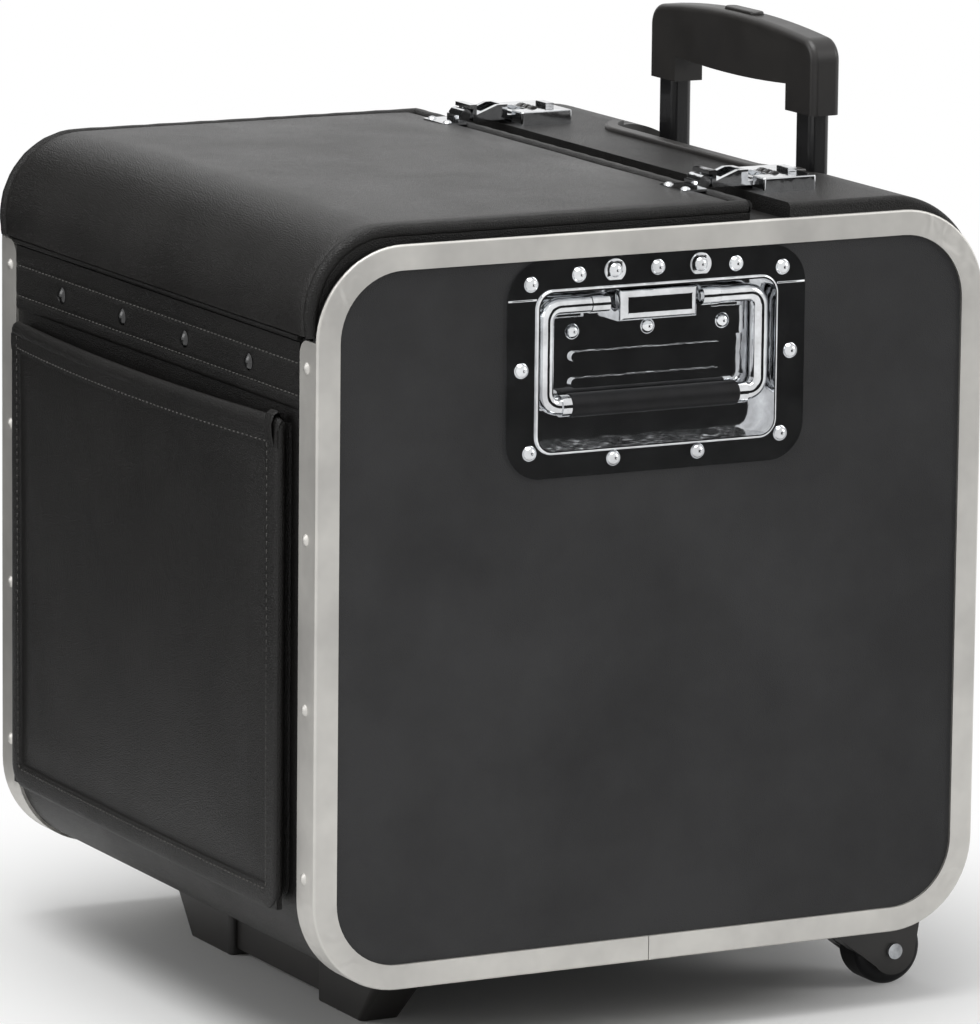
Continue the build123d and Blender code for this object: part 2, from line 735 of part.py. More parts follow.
with BuildPart() as pocket_binding:
    add(pocket_sheet(pocket_low_z, pocket_top_z, pocket_front, pocket_front + POCKET_BIND_T))
    clear_x = POCKET_HALF_W - POCKET_BIND_W
    block(
        (-clear_x, FRONT - 60, pocket_low_z + POCKET_BIND_W),
        (clear_x, FRONT, pocket_top_z - POCKET_BIND_W),
        Mode.SUBTRACT,
    )
    roll_top = pocket_top_z + POCKET_ROLL_H
    add(pocket_sheet(pocket_top_z, roll_top, POCKET_STANDOFF, pocket_front + POCKET_BIND_T))
save(pocket_binding.part, "pocket_binding")

gusset_x = POCKET_HALF_W - GUSSET_INSET
gusset_back = WALL_FACE - POCKET_STANDOFF
with BuildPart() as gusset:
    for side in (1, -1):
        low, high = sorted((side * gusset_x, side * (gusset_x - GUSSET_T)))
        block((low, gusset_back, pocket_low_z), (high, WALL_FACE, pocket_top_z))
    block((-gusset_x, gusset_back, pocket_low_z), (gusset_x, WALL_FACE, pocket_low_z + GUSSET_T))
save(gusset.part, "pocket_gusset")

# Recessed end handles

floor_x = PANEL_X + PLATE_T - DISH_DEPTH
plate_face = PANEL_X + PLATE_T
rim_face = plate_face + DISH_RIM_H
bracket_face = floor_x + BRACKET_T
bracket_rivets = [i * BRACKET_RIVET_PITCH for i in (-1, 0, 1)]
with BuildPart() as dish:
    with BuildSketch(Plane.YZ.offset(PANEL_X)):
        with Locations((CASE_Y, GROUND + (PLATE_LOW + PLATE_TOP) / 2)):
            RectangleRounded(2 * PLATE_HALF_W, PLATE_TOP - PLATE_LOW, PLATE_R)
    extrude(amount=PLATE_T)
    with BuildSketch(Plane.YZ.offset(plate_face)):
        dish_outline(DISH_RIM_W)
    extrude(amount=DISH_RIM_H)
    fillet(dish.faces().sort_by(Axis.X)[-1].outer_wire().edges(), DISH_RIM_H * 0.8)
    with BuildSketch(Plane.YZ.offset(floor_x - PLATE_T)):
        dish_outline(PLATE_T)
    extrude(amount=DISH_DEPTH)
    with BuildSketch(Plane.YZ.offset(floor_x)):
        dish_outline(0)
    extrude(amount=DISH_DEPTH + DISH_RIM_H, mode=Mode.SUBTRACT)
    for level in RIB_LEVELS:
        with BuildSketch(Plane.YZ.offset(floor_x)):
            with Locations((CASE_Y, GROUND + level)):
                SlotOverall(2 * RIB_HALF_W, RIB_W)
        extrude(amount=RIB_H)
    plate_rivet_holes()
    for y in bracket_rivets:
        centre = (CASE_Y + y, GROUND + BRACKET_RIVET_H)
        rod((floor_x - 3, *centre), (floor_x + 1, *centre), BRACKET_RIVET_SHANK, Mode.SUBTRACT)
save_pair(dish.part, "handle_dish")

plate_rivet = rivet(PLATE_RIVET_HEAD_R, PLATE_RIVET_HEAD_H, PLATE_RIVET_SHANK_R, PLATE_T + PANEL_T)
bracket_rivet = rivet(PLATE_RIVET_HEAD_R, PLATE_RIVET_HEAD_H, BRACKET_RIVET_SHANK, BRACKET_T + PLATE_T)
with BuildPart() as handle_rivets:
    add(group(plate_rivet, [
        Plane(origin=(plate_face, CASE_Y + y, GROUND + z), z_dir=(1, 0, 0)) for y, z in plate_rivet_points
    ]))
    bracket_rivet_z = GROUND + BRACKET_RIVET_H
    add(group(bracket_rivet, [
        Plane(origin=(bracket_face, CASE_Y + y, bracket_rivet_z), z_dir=(1, 0, 0)) for y in bracket_rivets
    ]))
    mirror(about=Plane.YZ)
save(handle_rivets.part, "handle_rivets")

pivot_x = floor_x + BAIL_OFF_FLOOR
pivot_z = GROUND + BAIL_PIVOT_H
with BuildPart() as bracket:
    block(
        (floor_x, CASE_Y - BRACKET_HALF_W, GROUND + BRACKET_LOW),
        (bracket_face, CASE_Y + BRACKET_HALF_W, GROUND + BRACKET_TOP),
    )
    knuckle_low = (floor_x, CASE_Y - KNUCKLE_FAR, GROUND + BRACKET_TOP)
    block(knuckle_low, (bracket_face, CASE_Y + KNUCKLE_FAR, pivot_z))
    hood_low = (floor_x, CASE_Y - HOOD_HALF_W, GROUND + HOOD_LOW)
    hood_high = (floor_x + HOOD_OUT, CASE_Y + HOOD_HALF_W, GROUND + HOOD_TOP)
    with BuildPart(mode=Mode.PRIVATE) as hood:
        block(hood_low, hood_high)
        front_edges = hood.faces().sort_by(Axis.X)[-1].edges()
        fillet(front_edges, HOOD_R)
    add(hood.part)
    for side in (1, -1):
        near = (pivot_x, CASE_Y + side * KNUCKLE_NEAR, pivot_z)
        far = (pivot_x, CASE_Y + side * KNUCKLE_FAR, pivot_z)
        rod(near, far, KNUCKLE_R)
        low_y, high_y = sorted((near[1], far[1]))
        block((floor_x, low_y, pivot_z - KNUCKLE_R), (pivot_x, high_y, pivot_z + KNUCKLE_R))
    bore_y = KNUCKLE_FAR + 1
    bore_r = BAIL_PIN_R + PIN_GAP
    rod((pivot_x, CASE_Y - bore_y, pivot_z), (pivot_x, CASE_Y + bore_y, pivot_z), bore_r, Mode.SUBTRACT)
    spring_outer = SPRING_R + SPRING_WIRE_R + SPRING_GAP
    hood_ends = [(pivot_x, CASE_Y + side * (HOOD_HALF_W + 1), pivot_z) for side in (-1, 1)]
    rod(*hood_ends, spring_outer, Mode.SUBTRACT)
    for y in bracket_rivets:
        centre = (CASE_Y + y, GROUND + BRACKET_RIVET_H)
        rod((floor_x - 1, *centre), (bracket_face, *centre), BRACKET_RIVET_SHANK, Mode.SUBTRACT)
        head_well = PLATE_RIVET_HEAD_R + 0.5
        rod((bracket_face, *centre), (floor_x + HOOD_OUT + 1, *centre), head_well, Mode.SUBTRACT)
save_pair(bracket.part, "handle_bracket")

bail_low = pivot_z - BAIL_DROP
shoulder_y = KNUCKLE_FAR + BAIL_SIDE_GAP
with BuildPart() as bail:
    with BuildLine(Plane(origin=(pivot_x, CASE_Y, 0), x_dir=(0, 1, 0), z_dir=(1, 0, 0))):
        FilletPolyline(
            (-shoulder_y, pivot_z), (-BAIL_HALF_W, pivot_z), (-BAIL_HALF_W, bail_low),
            (BAIL_HALF_W, bail_low), (BAIL_HALF_W, pivot_z), (shoulder_y, pivot_z),
            radius=BAIL_BEND_R,
        )
    with BuildSketch(Plane(origin=(pivot_x, CASE_Y - shoulder_y, pivot_z), z_dir=(0, -1, 0))):
        Circle(BAIL_WIRE_R)
    sweep()
    for side in (1, -1):
        start = (pivot_x, CASE_Y + side * shoulder_y, pivot_z)
        rod(start, (pivot_x, CASE_Y + side * BAIL_PIN_END, pivot_z), BAIL_PIN_R)
        ferrule = (pivot_x, CASE_Y + side * SLEEVE_HALF_L, bail_low)
        rod(ferrule, (pivot_x, CASE_Y + side * (SLEEVE_HALF_L + FERRULE_L), bail_low), FERRULE_R)
save_pair(bail.part, "handle_bail")

with BuildPart() as sleeve:
    ends = [(pivot_x, CASE_Y + side * SLEEVE_HALF_L, bail_low) for side in (-1, 1)]
    rod(*ends, SLEEVE_R)
    fillet(sleeve.edges().filter_by(GeomType.CIRCLE), 1.0)
    rod(*ends, BAIL_WIRE_R, Mode.SUBTRACT)
save_pair(sleeve.part, "handle_sleeve")

# Locks


def lock_point(x, y, z):
    """A point of the right lock from its middle line, its front edge and the deck's top."""
    return (LOCK_X + x, CASE_Y + LOCK_FRONT + y, DECK_TOP + z)


hasp_y = NOTCH_L / 2
dial_z = LOCK_H + DIAL_PROUD - DIAL_R
dial_xs = [i * DIAL_PITCH for i in (-1, 0, 1)]
half_lock = LOCK_W / 2
half_notch = NOTCH_W / 2
notch_floor = HASP_PIVOT_H - HASP_BARREL_R - DIAL_GAP
half_pin = half_lock - PIN_INSET
dial_pin_r = DIAL_BORE_R - PIN_GAP
hasp_pin = lock_point(-half_pin, hasp_y, HASP_PIVOT_H), lock_point(half_pin, hasp_y, HASP_PIVOT_H)
dial_pin = lock_point(-half_pin, DIAL_SETBACK, dial_z), lock_point(half_pin, DIAL_SETBACK, dial_z)
slider_top = LOCK_H + SLIDER_H
stem_w, stem_l, stem_h = SLIDER_W / 3, SLIDER_L / 2, SLIDER_H
with BuildPart() as lock:
    block(lock_point(-half_lock, 0, 0), lock_point(half_lock, LOCK_L, LOCK_H))
    fillet(lock.edges().filter_by(Axis.Z), LOCK_ROUND)
    fillet(lock.faces().sort_by(Axis.Z)[-1].edges(), LOCK_ROUND / 2)
    notch_high = lock_point(half_notch, NOTCH_L, LOCK_H + 1)
    block(lock_point(-half_notch, -1, notch_floor), notch_high, Mode.SUBTRACT)
    for x in dial_xs:
        half = DIAL_W / 2 + DIAL_GAP
        reach = DIAL_R + DIAL_GAP
        well_low = lock_point(x - half, DIAL_SETBACK - reach, dial_z - reach)
        block(well_low, lock_point(x + half, DIAL_SETBACK + reach, LOCK_H + 1), Mode.SUBTRACT)
    slot_x = stem_w / 2 + DIAL_GAP
    slot_y = stem_l / 2 + DIAL_GAP
    block(
        lock_point(-slot_x, SLIDER_SETBACK - slot_y, LOCK_H - stem_h - DIAL_GAP),
        lock_point(slot_x + SLIDER_TRAVEL, SLIDER_SETBACK + slot_y, LOCK_H + 1),
        Mode.SUBTRACT,
    )
    rod(*hasp_pin, HASP_PIN_R, Mode.SUBTRACT)
    rod(*dial_pin, dial_pin_r, Mode.SUBTRACT)
save_pair(lock.part, "lock_case")

for number, x in enumerate(dial_xs, 1):
    with BuildPart() as dial:
        ends = [lock_point(x + side * DIAL_W / 2, DIAL_SETBACK, dial_z) for side in (-1, 1)]
        rod(*ends, DIAL_R)
        chamfer(dial.edges().filter_by(GeomType.CIRCLE), DIAL_BEVEL)
        rod(*ends, DIAL_BORE_R, Mode.SUBTRACT)
    save_pair(dial.part, f"lock_dial_{number}")

with BuildPart() as pins:
    rod(*hasp_pin, HASP_PIN_R)
    rod(*dial_pin, dial_pin_r)
    mirror(about=Plane.YZ)
save(pins.part, "lock_pins")

with BuildPart() as slider:
    base_low = lock_point(-SLIDER_W / 2, SLIDER_SETBACK - SLIDER_L / 2, LOCK_H + PIN_GAP)
    block(base_low, lock_point(SLIDER_W / 2, SLIDER_SETBACK + SLIDER_L / 2, slider_top))
    fillet(slider.faces().sort_by(Axis.Z)[-1].edges(), 0.7)
    block(
        lock_point(-stem_w / 2, SLIDER_SETBACK - stem_l / 2, LOCK_H - stem_h),
        lock_point(stem_w / 2, SLIDER_SETBACK + stem_l / 2, LOCK_H + PIN_GAP),
    )
save_pair(slider.part, "lock_slider")

# Hasp lever over the lid's catch post

post_y = LID_REAR - LOCK_FRONT + 1
post_z = lid_top - DECK_TOP + CATCH_POST_R + 1
nose_z = post_z + CATCH_POST_R + DIAL_GAP
arm_front = post_y + CATCH_POST_R + DIAL_GAP
half_hasp = HASP_W / 2
arm_low = HASP_PIVOT_H - HASP_T / 2
arm_rear = arm_front + HASP_T
nose_top = nose_z + HASP_T
barrel = [lock_point(side * half_hasp, hasp_y, HASP_PIVOT_H) for side in (-1, 1)]
with BuildPart() as hasp:
    rod(*barrel, HASP_BARREL_R)
    block(lock_point(-half_hasp, arm_front, arm_low), lock_point(half_hasp, hasp_y, arm_low + HASP_T))
    block(lock_point(-half_hasp, arm_front, arm_low), lock_point(half_hasp, arm_rear, nose_top))
    block(lock_point(-half_hasp, arm_front - HASP_T, nose_z), lock_point(half_hasp, arm_rear, nose_top))
    with BuildSketch(Plane.YZ.offset(LOCK_X - half_hasp)):
        y, z = lock_point(0, 0, 0)[1:]
        tab_rear = y - HASP_TAB_SETBACK
        tab_front = y + arm_rear
        root_z = z + HASP_PIVOT_H
        tab_top = root_z + HASP_TAB_H
        with BuildLine():
            Polyline(
                (tab_front, root_z), (tab_rear, root_z), (tab_rear, tab_top),
                (tab_rear - HASP_TAB_LEAN, tab_top), (tab_front, root_z + HASP_T), (tab_front, root_z),
            )
        make_face()
    extrude(amount=HASP_W)
    half_window = half_hasp - HASP_RIM
    window_rear = -HASP_TAB_SETBACK - HASP_RIM
    window_low = lock_point(-half_window, arm_rear + HASP_WINDOW_FRONT, HASP_PIVOT_H - HASP_T)
    block(window_low, lock_point(half_window, window_rear, HASP_PIVOT_H + HASP_L), Mode.SUBTRACT)
    rod(*hasp_pin, HASP_PIN_R + PIN_GAP, Mode.SUBTRACT)
save_pair(hasp.part, "lock_hasp")

with BuildPart() as catches:
    plate_rear = post_y - CATCH_POST_R / 2
    plate_low_z = lid_top - DECK_TOP
    half_catch = CATCH_W / 2
    plate_top_z = plate_low_z + CATCH_T
    plate_low = lock_point(-half_catch, plate_rear - CATCH_L, plate_low_z)
    block(plate_low, lock_point(half_catch, plate_rear, plate_top_z))
    fillet(catches.edges().filter_by(Axis.Z), CATCH_CORNER_R)
    half_post = CATCH_POST_W / 2
    post_low = lock_point(-half_post, plate_rear - CATCH_POST_T, plate_low_z)
    block(post_low, lock_point(half_post, plate_rear, post_z))
    rod(lock_point(-half_post, post_y, post_z), lock_point(half_post, post_y, post_z), CATCH_POST_R)
    for side in (1, -1):
        x = side * (half_catch - CATCH_RIVET_INSET)
        with Locations(lock_point(x, plate_rear - CATCH_L + CATCH_RIVET_INSET, plate_top_z)):
            add(rivet(CATCH_RIVET_R, CATCH_RIVET_H, CATCH_RIVET_SHANK, CATCH_T))
    mirror(about=Plane.YZ)
save(catches.part, "lid_catches")

# Rear wheels

axle_y = CASE_Y + WHEEL_Y
axle_z = WHEEL_R
wheel_low, wheel_high = WHEEL_X - WHEEL_W / 2, WHEEL_X + WHEEL_W / 2
with BuildPart() as wheel:
    rod((wheel_low, axle_y, axle_z), (wheel_high, axle_y, axle_z), WHEEL_R)
    fillet(wheel.edges().filter_by(GeomType.CIRCLE), WHEEL_ROUND)
    for start, end in ((wheel_low, wheel_low + HUB_DISH), (wheel_high, wheel_high - HUB_DISH)):
        with BuildSketch(Plane(origin=(start, axle_y, axle_z), x_dir=(0, 1, 0), z_dir=(end - start, 0, 0))):
            Circle(HUB_R)
            Circle(AXLE_R + HUB_BOSS, mode=Mode.SUBTRACT)
        extrude(amount=HUB_DISH, mode=Mode.SUBTRACT)
    rod((wheel_low - 1, axle_y, axle_z), (wheel_high + 1, axle_y, axle_z), AXLE_R + PIN_GAP, Mode.SUBTRACT)
save_pair(wheel.part, "wheel")

cheek_in = WHEEL_W / 2 + CHEEK_GAP
cheek_out = cheek_in + CHEEK_T
housing_front = axle_y - HOUSING_FRONT
housing_rear = axle_y + HOUSING_REAR
plate_z = SEAT_Z - HOUSING_PLATE_T
grip_z = SEAT_Z - SCREW_GRIP
screw_well = SCREW_HEAD_R + DIAL_GAP
with BuildPart() as housing:
    with BuildSketch(Plane.YZ.offset(WHEEL_X - cheek_out)):
        with Locations((axle_y, axle_z)):
            Circle(CHEEK_R)
        with BuildLine():
            Polyline(
                (housing_front, SEAT_Z), (housing_front, plate_z - HOUSING_FRONT_DROP),
                (axle_y - CHEEK_R * 0.8, axle_z - CHEEK_R * 0.6),
                (axle_y, axle_z), (axle_y + CHEEK_R, axle_z),
                (housing_rear, plate_z), (housing_rear, SEAT_Z), (housing_front, SEAT_Z),
            )
        make_face()
    extrude(amount=2 * cheek_out)
    well = WHEEL_R + HOUSING_WHEEL_GAP
    well_top = 2 * WHEEL_R + HOUSING_CROWN_GAP
    well_low = (WHEEL_X - cheek_in, axle_y - well, -1)
    block(well_low, (WHEEL_X + cheek_in, housing_rear + 1, well_top), Mode.SUBTRACT)
    bore_x = cheek_out + 1
    rod((WHEEL_X - bore_x, axle_y, axle_z), (WHEEL_X + bore_x, axle_y, axle_z), AXLE_R, Mode.SUBTRACT)
    for x, y in wheel_screws[:2]:
        rod((x, y, grip_z - 1), (x, y, SEAT_Z + 1), SCREW_SHANK_R, Mode.SUBTRACT)
        rod((x, y, -1), (x, y, grip_z), screw_well, Mode.SUBTRACT)
save_pair(housing.part, "wheel_housing")

with BuildPart() as axles:
    ends = (WHEEL_X - cheek_out, axle_y, axle_z), (WHEEL_X + cheek_out, axle_y, axle_z)
    rod(*ends, AXLE_R)
    rod(ends[1], (ends[1][0] + AXLE_HEAD_T, axle_y, axle_z), AXLE_HEAD_R)
    rod(ends[0], (ends[0][0] - AXLE_HEAD_T, axle_y, axle_z), AXLE_HEAD_R)
    mirror(about=Plane.YZ)
save(axles.part, "wheel_axles")

# Front feet on one moulded stand

foot_front_y = CASE_Y + FOOT_FRONT
with BuildPart() as stand:
    with BuildSketch(Plane.XY.offset(0)) as sole:
        with Locations((FOOT_X, foot_front_y + FOOT_L / 2)):
            Rectangle(FOOT_W, FOOT_L)
    with BuildSketch(Plane.XY.offset(SEAT_Z)):
        with Locations((FOOT_X + FOOT_FLARE / 2, foot_front_y + (FOOT_L + FOOT_SLOPE) / 2)):
            Rectangle(FOOT_W + FOOT_FLARE, FOOT_L + FOOT_SLOPE)
    loft()
    corners = stand.edges().filter_by(lambda e: 1 < e.center().Z < SEAT_Z - 1)
    fillet(corners, FOOT_ROUND)
    fillet(stand.faces().sort_by(Axis.Z)[0].edges(), FOOT_ROUND / 2)
    mirror(about=Plane.YZ)
    inner_x = FOOT_X - FOOT_W / 2
    bar_x = inner_x + BAR_BITE
    bar_y = foot_front_y + BAR_SETBACK
    block((-bar_x, bar_y, SEAT_Z - BAR_H), (bar_x, bar_y + BAR_L, SEAT_Z))
    for x, y in foot_screws:
        rod((x, y, 1), (x, y, SEAT_Z + 1), SCREW_SHANK_R, Mode.SUBTRACT)
        rod((x, y, -1), (x, y, grip_z), screw_well, Mode.SUBTRACT)
save(stand.part, "foot_stand")

screw = rivet(SCREW_HEAD_R, SCREW_HEAD_H, SCREW_SHANK_R, SCREW_GRIP + WALL_T)
base_screw = rivet(SCREW_HEAD_R, SCREW_HEAD_H, SCREW_SHANK_R, BASE_T + WALL_T / 2)
with BuildPart() as screws:
    below = [Plane(origin=(x, y, grip_z), z_dir=(0, 0, -1)) for x, y in foot_screws + wheel_screws]
    add(group(screw, below))
    add(group(base_screw, [Plane(origin=(x, y, base_top)) for x, y in base_screws]))
save(screws.part, "base_screws")

# Wound return spring of the end handles


def bent_pair(start, start_way, end, end_way):
    """Two arcs that leave start and reach end along the given ways and meet in one direction."""
    chord = end - start
    both = start_way + end_way
    a = 2 * (1 - start_way.dot(end_way))
    b = 2 * chord.dot(both)
    c = -chord.dot(chord)
    reach = (-b + sqrt(b * b - 4 * a * c)) / (2 * a)
    middle = (start + end + (start_way - end_way) * reach) * 0.5
    TangentArc(start, middle, tangent=start_way)
    TangentArc(middle, end, tangent=((end - end_way * reach) - (start + start_way * reach)).normalized())


spring_half_l = HOOD_HALF_W - SPRING_END_GAP
spring_rise = 2 * spring_half_l / SPRING_TURNS
print("spring gap between turns", spring_rise - 2 * SPRING_WIRE_R)


def spring_point(turn):
    """Point and direction on the coil after some turns."""
    angle = 2 * pi * turn
    place = Vector(
        pivot_x + SPRING_R * cos(angle),
        CASE_Y - spring_half_l + spring_rise * turn,
        pivot_z + SPRING_R * sin(angle),
    )
    way = Vector(-2 * pi * SPRING_R * sin(angle), spring_rise, 2 * pi * SPRING_R * cos(angle)).normalized()
    return place, way


with BuildPart() as spring:
    with BuildLine() as coil:
        for half_turn in range(2 * SPRING_TURNS):
            bent_pair(*spring_point(half_turn / 2), *spring_point((half_turn + 1) / 2))
    first, first_way = spring_point(0)
    with BuildSketch(Plane(origin=first, z_dir=first_way)):
        Circle(SPRING_WIRE_R)
    sweep()
    mirror(about=Plane.YZ)
save(spring.part, "handle_springs")
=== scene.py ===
import json
from math import asin, atan2, cos, pi, radians, sin, sqrt, tan

import bpy
from mathutils import Matrix, Vector, noise


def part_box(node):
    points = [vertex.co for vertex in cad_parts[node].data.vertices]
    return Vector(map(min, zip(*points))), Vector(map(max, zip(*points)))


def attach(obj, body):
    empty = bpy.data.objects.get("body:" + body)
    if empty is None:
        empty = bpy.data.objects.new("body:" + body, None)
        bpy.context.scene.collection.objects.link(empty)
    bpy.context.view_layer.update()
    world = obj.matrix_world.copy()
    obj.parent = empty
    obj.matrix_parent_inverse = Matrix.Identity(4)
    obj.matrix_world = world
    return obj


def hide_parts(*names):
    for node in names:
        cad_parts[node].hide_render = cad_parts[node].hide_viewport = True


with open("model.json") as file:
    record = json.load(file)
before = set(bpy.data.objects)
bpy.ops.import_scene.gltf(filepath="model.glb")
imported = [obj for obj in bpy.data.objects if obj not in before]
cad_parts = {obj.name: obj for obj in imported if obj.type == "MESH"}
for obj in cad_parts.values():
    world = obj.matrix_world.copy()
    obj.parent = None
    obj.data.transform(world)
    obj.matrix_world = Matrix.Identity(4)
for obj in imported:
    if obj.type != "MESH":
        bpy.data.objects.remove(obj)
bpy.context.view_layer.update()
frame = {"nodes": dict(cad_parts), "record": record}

bl_info = {
    "name": "Rolling pilot case",
    "version": (1, 0, 0),
    "blender": (4, 5, 0),
    "location": "3D View > Sidebar > Pilot case",
    "description": "Vinyl, metal and moulded pieces round the packed frame of a rolling pilot case",
    "category": "Object",
}

MM = 0.001

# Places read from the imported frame, in metres
FRAME_LOW, FRAME_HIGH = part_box("frame_right")
WALL_LOW, WALL_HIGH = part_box("front_wall")
LID_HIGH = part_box("lid_panel")[1]
EDGE_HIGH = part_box("lid_binding")[1]
STRIP_LOW, STRIP_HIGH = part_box("hinge_strip")
POCKET_LOW, POCKET_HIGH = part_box("pocket_panel")
CASE_Y = (FRAME_LOW[1] + FRAME_HIGH[1]) / 2
CASE_HALF = (FRAME_HIGH[1] - FRAME_LOW[1]) / 2
GROUND = FRAME_LOW[2]
CASE_TOP = FRAME_HIGH[2]
FRONT = FRAME_LOW[1]
WALL_FACE = WALL_LOW[1]
HINGE_Z = WALL_HIGH[2]

# Lid section, with the sizes that the case's own source gives it
LID_R = 44 * MM
LID_LEAN = 9 * MM
LID_FOOT_GAP = 2 * MM
LID_REAR_BOW = 1.2 * MM
LID_FOOT_OUT = 2 * MM
LID_INNER_R = 47 * MM
LID_FOOT_RISE = 3 * MM
CORNER_R = 48 * MM
LID_UNDER = CASE_TOP - 1.0 * MM
LID_EDGE_T = EDGE_HIGH[0] - LID_HIGH[0]

# Hinge strip: its thickness, its two seams and its four rivets
STRIP_T = 1.5 * MM
STRIP_SEAMS = (GROUND + 322 * MM, GROUND + 305.5 * MM)
STRIP_RIVET_XS = [(i - 1.5) * 76 * MM for i in range(4)]
STRIP_RIVET_Z = HINGE_Z - 21 * MM
STRIP_RIVET_R = 4.5 * MM

# Pocket section
POCKET_BACK = 4.6 * MM
POCKET_FACE = 7.6 * MM
POCKET_BOW_LOW = 1.5 * MM
POCKET_BOW_TOP = 9.0 * MM
POCKET_HALF = POCKET_HIGH[0]
POCKET_CORNER_R = 12 * MM
POCKET_SEAM_INSET = 9.6 * MM
POCKET_SEAM_DEPTH = 9.1 * MM

# End handles: the plate's thickness, and where its washers and lapped seams lie
PLATE_T = 1.2 * MM
WASHER_R = 5.9 * MM
WASHER_CUT = 4.9 * MM
WASHER_Z = GROUND + 361.5 * MM
WASHER_Y = 24.7 * MM
LAP_Z = GROUND + 349 * MM
LAP_Y = 77.5 * MM
LAP_SIZE = (0.5 * MM, 16 * MM, 0.9 * MM)

DIAL_DIGIT_SIZE = 2.5 * MM


# Sizes and colours that a user would change


class CaseSizes(bpy.types.PropertyGroup):
    lid_crown: bpy.props.FloatProperty(
        name="Lid crown", description="Height of the lid's padding over its edges",
        default=3.2 * MM, unit="LENGTH")
    lid_roll: bpy.props.FloatProperty(
        name="Lid edge roll", description="Radius of the rolled edge round the lid",
        default=3.7 * MM, unit="LENGTH")
    pocket_fill: bpy.props.FloatProperty(
        name="Pocket fill", description="Height of the padding on the front pocket",
        default=1.3 * MM, unit="LENGTH")
    binding_width: bpy.props.FloatProperty(
        name="Binding width", description="Width of the binding round the pocket",
        default=12.5 * MM, unit="LENGTH")
    stitch_pitch: bpy.props.FloatProperty(
        name="Stitch pitch", description="Distance from one stitch to the next",
        default=4.2 * MM, unit="LENGTH")
    grain: bpy.props.FloatProperty(
        name="Vinyl grain", description="Width of one pebble of the vinyl's embossed grain",
        default=1.3 * MM, unit="LENGTH")


class CaseColours(bpy.types.PropertyGroup):
    vinyl: bpy.props.StringProperty(name="Vinyl", description="Grained cover", default="#151413")
    lid_vinyl: bpy.props.StringProperty(
        name="Lid vinyl", description="Padded lid cover", default="#1e1d1c")
    end_vinyl: bpy.props.StringProperty(
        name="End vinyl", description="Fine cover of the ends", default="#323233")
    aluminium: bpy.props.StringProperty(name="Aluminium", description="Frame bands", default="#d2d0cb")
    chrome: bpy.props.StringProperty(name="Chrome", description="Plated fittings", default="#dfe1e3")
    plastic: bpy.props.StringProperty(name="Plastic", description="Moulded parts", default="#211f1d")
    tube: bpy.props.StringProperty(name="Tube", description="Powder coat", default="#141415")
    rubber: bpy.props.StringProperty(name="Rubber", description="Grip sleeve and tyres", default="#161617")
    steel: bpy.props.StringProperty(name="Steel", description="Zinc plate", default="#b4b7ba")
    lining: bpy.props.StringProperty(name="Lining", description="Felt inside", default="#3a3a40")
    thread: bpy.props.StringProperty(name="Thread", description="Stitching", default="#3b3a37")


# Mesh helpers


def deselect():
    """Leave object mode with nothing selected."""
    if bpy.context.object and bpy.context.object.mode != "OBJECT":
        bpy.ops.object.mode_set(mode="OBJECT")
    bpy.ops.object.select_all(action="DESELECT")


def pick(piece):
    """Select one piece alone and make it active."""
    deselect()
    piece.select_set(True)
    bpy.context.view_layer.objects.active = piece


def tidy_mesh(piece, angle=35):
    """Merge doubles, turn the faces outwards and shade the gentle edges smooth."""
    pick(piece)
    bpy.ops.object.mode_set(mode="EDIT")
    bpy.ops.mesh.select_all(action="SELECT")
    bpy.ops.mesh.remove_doubles(threshold=0.00001)
    bpy.ops.mesh.normals_make_consistent(inside=False)
    bpy.ops.object.mode_set(mode="OBJECT")
    bpy.ops.object.shade_smooth_by_angle(angle=radians(angle))
    return piece


def swept(name, section, stations, place):
    """A section drawn out by extrusion, station by station, then laid where place says.

    place(station, u, v) gives the point of a section's corner (u, v) at a station's number.
    """
    deselect()
    bpy.ops.mesh.primitive_circle_add(vertices=len(section), radius=1, fill_type="NGON")
    piece = bpy.context.object
    piece.name = piece.data.name = name
    for vertex, (u, v) in zip(piece.data.vertices, section):
        vertex.co = (0, u, v)
    bpy.ops.object.mode_set(mode="EDIT")
    bpy.ops.mesh.select_all(action="SELECT")
    for _ in range(stations - 1):
        bpy.ops.mesh.extrude_region_move(TRANSFORM_OT_translate={"value": (1, 0, 0)})
    bpy.ops.object.mode_set(mode="OBJECT")
    for vertex in piece.data.vertices:
        station, u, v = vertex.co
        vertex.co = place(round(station), u, v)
    return tidy_mesh(piece)


def joined(name, pieces):
    """Several meshes made one."""
    deselect()
    for piece in pieces:
        piece.select_set(True)
    bpy.context.view_layer.objects.active = pieces[0]
    if len(pieces) > 1:
        bpy.ops.object.join()
    piece = bpy.context.object
    piece.name = piece.data.name = name
    return piece


def mirrored(piece, name):
    """A copy of a piece at the left end, with a mesh of its own."""
    pick(piece)
    bpy.ops.object.duplicate()
    copy = bpy.context.object
    copy.name = copy.data.name = name
    for vertex in copy.data.vertices:
        vertex.co.x = -vertex.co.x
    pick(copy)
    bpy.ops.object.mode_set(mode="EDIT")
    bpy.ops.mesh.select_all(action="SELECT")
    bpy.ops.mesh.flip_normals()
    bpy.ops.object.mode_set(mode="OBJECT")
    return copy


def settle(piece, body, slot, material, *nodes):
    """Give a piece its finish, hang it under its body and hide the nodes that it stands for."""
    piece.data.materials.clear()
    piece.data.materials.append(bpy.data.materials[material])
    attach(piece, body)
    if nodes:
        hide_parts(*nodes)


def spread(low, high, count):
    """Evenly spaced numbers from low to high."""
    return [low + (high - low) * i / (count - 1) for i in range(count)]


def ease(value):
    """Smooth step from 0 to 1."""
    value = max(0.0, min(1.0, value))
    return value * value * (3 - 2 * value)


